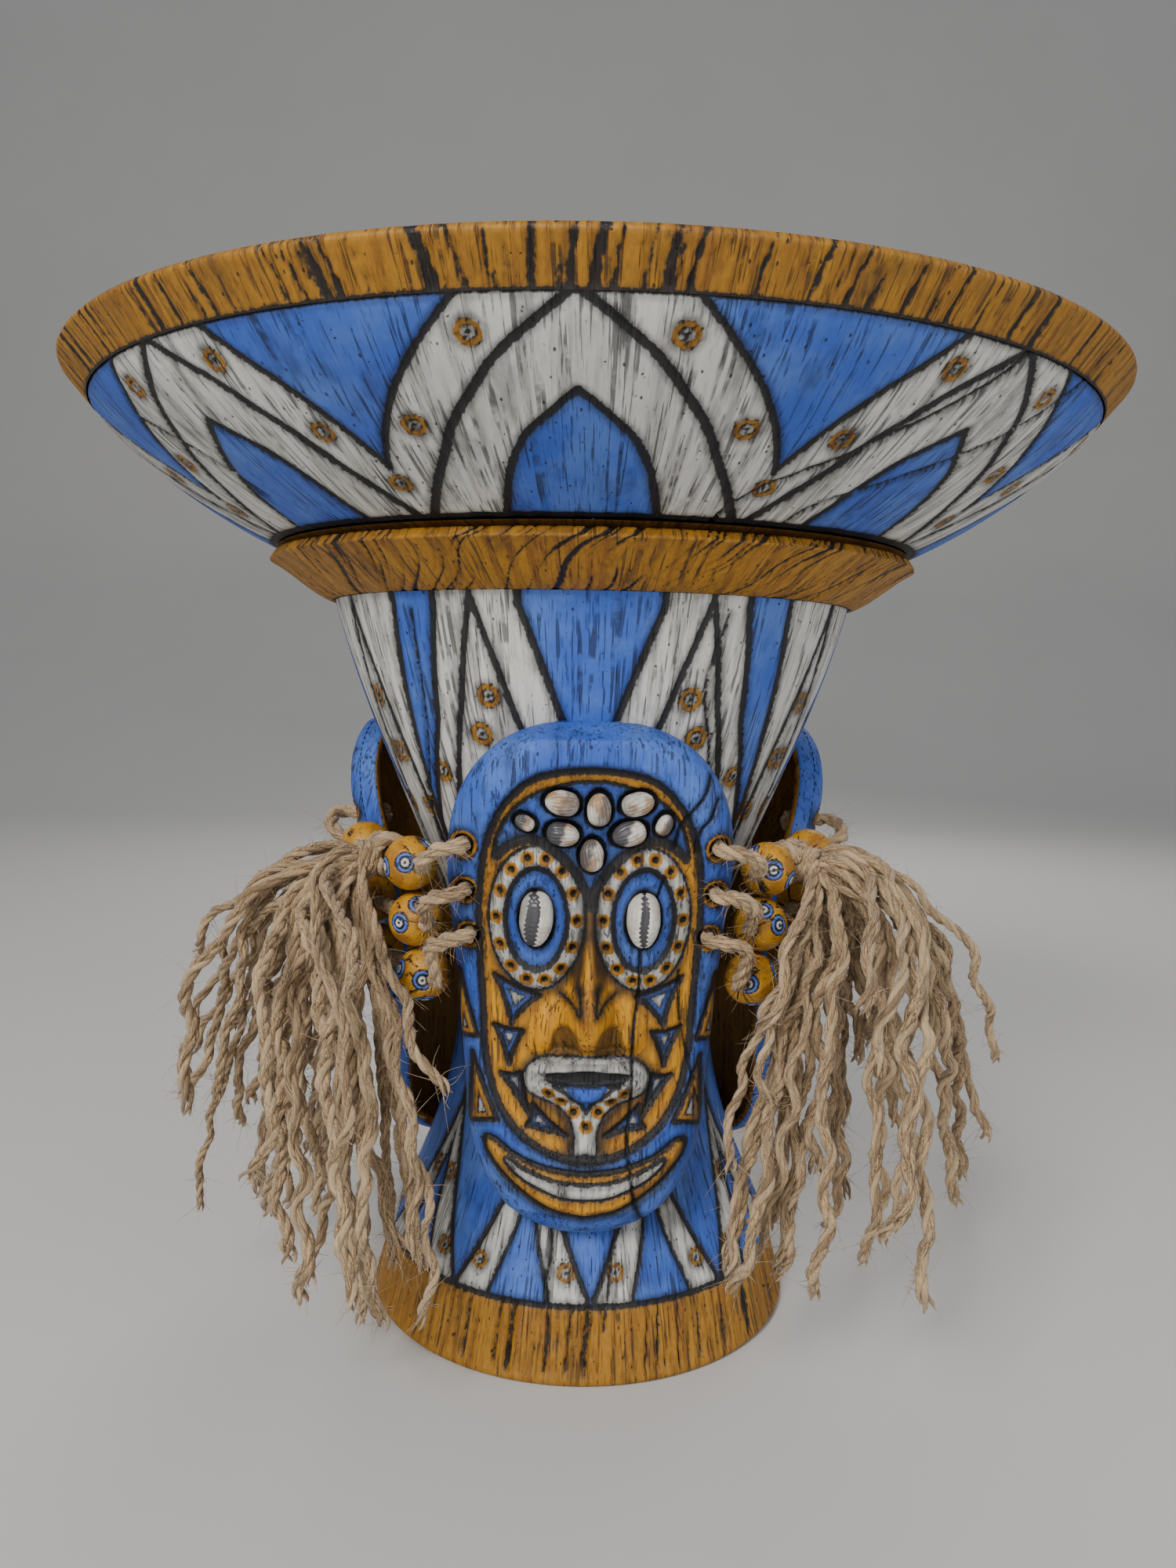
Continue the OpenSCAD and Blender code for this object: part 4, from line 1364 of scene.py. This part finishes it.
def add_lacing(side, row, material):
    rng = np.random.default_rng(sum(map(ord, side + row)))
    path = in_gap(side, lacing_route(row))
    parts = Parts()
    yarn(parts, path, 0.88 * CORD_R, 3, 17.0, 9, rng)
    for end in (0, -1):
        knot = path[end]
        turn = np.linspace(0, 2.6 * TURN, 60)
        inward = (path[1] - path[0]) if end == 0 else (path[-2] - path[-1])
        inward /= np.linalg.norm(inward)
        a = np.cross(inward, (0, 0, 1.0))
        a /= np.linalg.norm(a)
        b = np.cross(inward, a)
        coil = knot + np.cos(turn)[:, None] * 2.6 * a + np.sin(turn)[:, None] * 2.6 * b \
            + np.linspace(0.5, 4.5, 60)[:, None] * inward
        yarn(parts, coil, 1.7, 3, 10.0, 6, rng)
    for start, stop in ((0.10, 0.30), (0.70, 0.90)):
        hairs(parts, path, 130, rng, CORD_R, 5.5, (start, stop), 0.10)
    piece = parts.build(f"lacing_{side}_{row}", material)
    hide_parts(f"cord_{side}_{row}")
    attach(piece, "root")


jute = jute_material("jute")
for side in SIDES:
    for row in ROWS:
        add_lacing(side, row, jute)


# ---------------------------------------------------------------- tassels

STRANDS = 48
LONG_STRANDS = 12
KNOT_OUT, KNOT_Z = 93.0, 178.0    # where the strands leave the knot
LOWEST = {"left": 30.0, "back": 36.0, "right": 44.0}
SEED = {"left": 21, "back": 22, "right": 23}


def strand_path(rng, away, drop):
    """A strand's line in its gap: out from the knot, then down with soft waves."""
    start = np.array([KNOT_OUT, rng.uniform(-4.5, 4.5), KNOT_Z + rng.uniform(-4, 5)])
    lift = rng.uniform(-3.0, 6.0) * away[0] / 50.0
    down = np.array([0.0, 0.0, -1.0])
    level = np.array([0.0, 0.02, 0.08, 0.24, 0.48, 0.76, 1.0])
    outward = np.array([0.0, 0.30, 0.62, 0.86, 0.97, 1.05, 1.12])
    sideways = np.array([0.0, 0.05, 0.12, 0.34, 0.70, 0.95, 1.10])
    points = start + np.stack([outward * away[0], sideways * away[1], 0 * level], 1) \
        + (level * drop)[:, None] * down
    points[1:3, 2] += lift
    points[4:, :2] += rng.normal(0, 3.0, (3, 2))
    path = resampled(spline(points, per=8), 1.6)
    s = path_length(path)
    grow = smoothstep(4.0, 40.0, s)
    for k in (0, 1):
        first, second = rng.uniform(20, 38), rng.uniform(12, 18)
        wave = rng.uniform(0.6, 2.3) * np.sin(TURN * s / first + rng.uniform(0, 6) + 0.8 * np.sin(s / 19.0))
        wave += rng.uniform(0.3, 0.9) * np.sin(TURN * s / second + rng.uniform(0, 6))
        path[:, k] += wave * grow
    near = np.interp(np.abs(path[:, 1]), (34, 58, 72), (97.5, 89.0, 86.0))
    path[:, 0] = np.clip(path[:, 0], near, 156.0)
    padded = np.r_[path[:1, 0].repeat(2), path[:, 0], path[-1:, 0].repeat(2)]
    path[:, 0] = np.convolve(padded, np.ones(5) / 5, "valid")
    return resampled(path, 1.6)


def add_tassel(side, material):
    rng = np.random.default_rng(SEED[side])
    body = f"tassel_{side}"
    rest, fuzz = Parts(), Parts()
    coil_at = np.linspace(0, 5 * TURN, 150)
    middle, height = BEAD_OUT["upper"], BEAD_Z["upper"]
    coil = np.stack([middle + 6.0 * np.cos(coil_at), np.linspace(-6.5, 6.5, 150),
                     height + 6.0 * np.sin(coil_at)], 1)
    yarn(rest, in_gap(side, coil), 2.2, 3, 12.0, 7, rng)
    wrap_at = np.linspace(0, 4 * TURN, 110)
    wrap = np.stack([np.linspace(91.5, 96.5, 110), 5.4 * np.cos(wrap_at), 178.5 + 5.4 * np.sin(wrap_at)], 1)
    yarn(rest, in_gap(side, wrap), 2.0, 3, 12.0, 7, rng)
    declared = []
    for k in range(STRANDS):
        long = k < LONG_STRANDS
        if k % 3 == 1:
            away = (rng.uniform(-6, 12), rng.choice((-1, 1)) * rng.uniform(34, 66))
        else:
            away = (55.0 * rng.uniform(0.0, 1.0) ** 0.8,
                    62.0 * rng.choice((-1, 1)) * rng.uniform(0.05, 1.0) ** 0.75)
        drop = (rng.uniform(0.90, 1.0) if long else rng.uniform(0.42, 0.97)) * (KNOT_Z - LOWEST[side])
        if not long and k % 9 == 0:
            drop *= 0.45
        path = in_gap(side, strand_path(rng, away, drop))
        radius = rng.uniform(1.5, 2.3)
        parts = Parts() if long else rest
        yarn(parts, path, radius, 3, rng.uniform(15, 26), 6, rng, spread_end=rng.uniform(0.4, 1.1))
        hairs(fuzz, path, 56, rng, radius, 6.5, (0.02, 1.0), 0.12)
        hairs(fuzz, path, 14, rng, radius, 6.0, (0.93, 1.0), 0.17)
        if long:
            declared.append((parts, path, 2 * radius))
    for parts, name in ((rest, "strands"), (fuzz, "fuzz")):
        piece = parts.build(f"{name}_{side}", material)
        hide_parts(body)
        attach(piece, body)
    for number, (parts, path, thick) in enumerate(declared):
        strand = parts.build(f"strand_{side}_{number + 1}", material)
        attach(strand, body)


for side in SIDES:
    add_tassel(side, jute)


# ---------------------------------------------------------------- floor and surroundings

def add_floor():
    n = Nodes("floor")
    cloud = n.noise(n.new("ShaderNodeTexCoord").outputs["Object"], 3.0)
    n.finish(n.mix(cloud, (0.60, 0.59, 0.57), (0.66, 0.65, 0.63)), 0.8, cloud, 0.1)
    x = np.linspace(-2500.0, 2500.0, 60)[None, :]
    u = np.linspace(0.0, 1.0, 60)[:, None]
    y = -1500.0 + 4000.0 * np.clip(u / 0.8, 0, 1)
    z = 2200.0 * np.clip((u - 0.6) / 0.4, 0, 1) ** 2
    points = np.stack(np.broadcast_arrays(x, y + 0 * x, z + 0 * x), -1)
    piece = make_mesh("floor", points.reshape(-1, 3), grid_faces(60, 60, False), material=n.material)


def set_world(colour, strength):
    world = bpy.data.worlds.new("studio")
    world.use_nodes = True
    background = world.node_tree.nodes["Background"]
    background.inputs["Color"].default_value = (*colour, 1.0)
    background.inputs["Strength"].default_value = strength
    bpy.context.scene.world = world


add_floor()
set_world((0.82, 0.85, 0.90), 0.34)
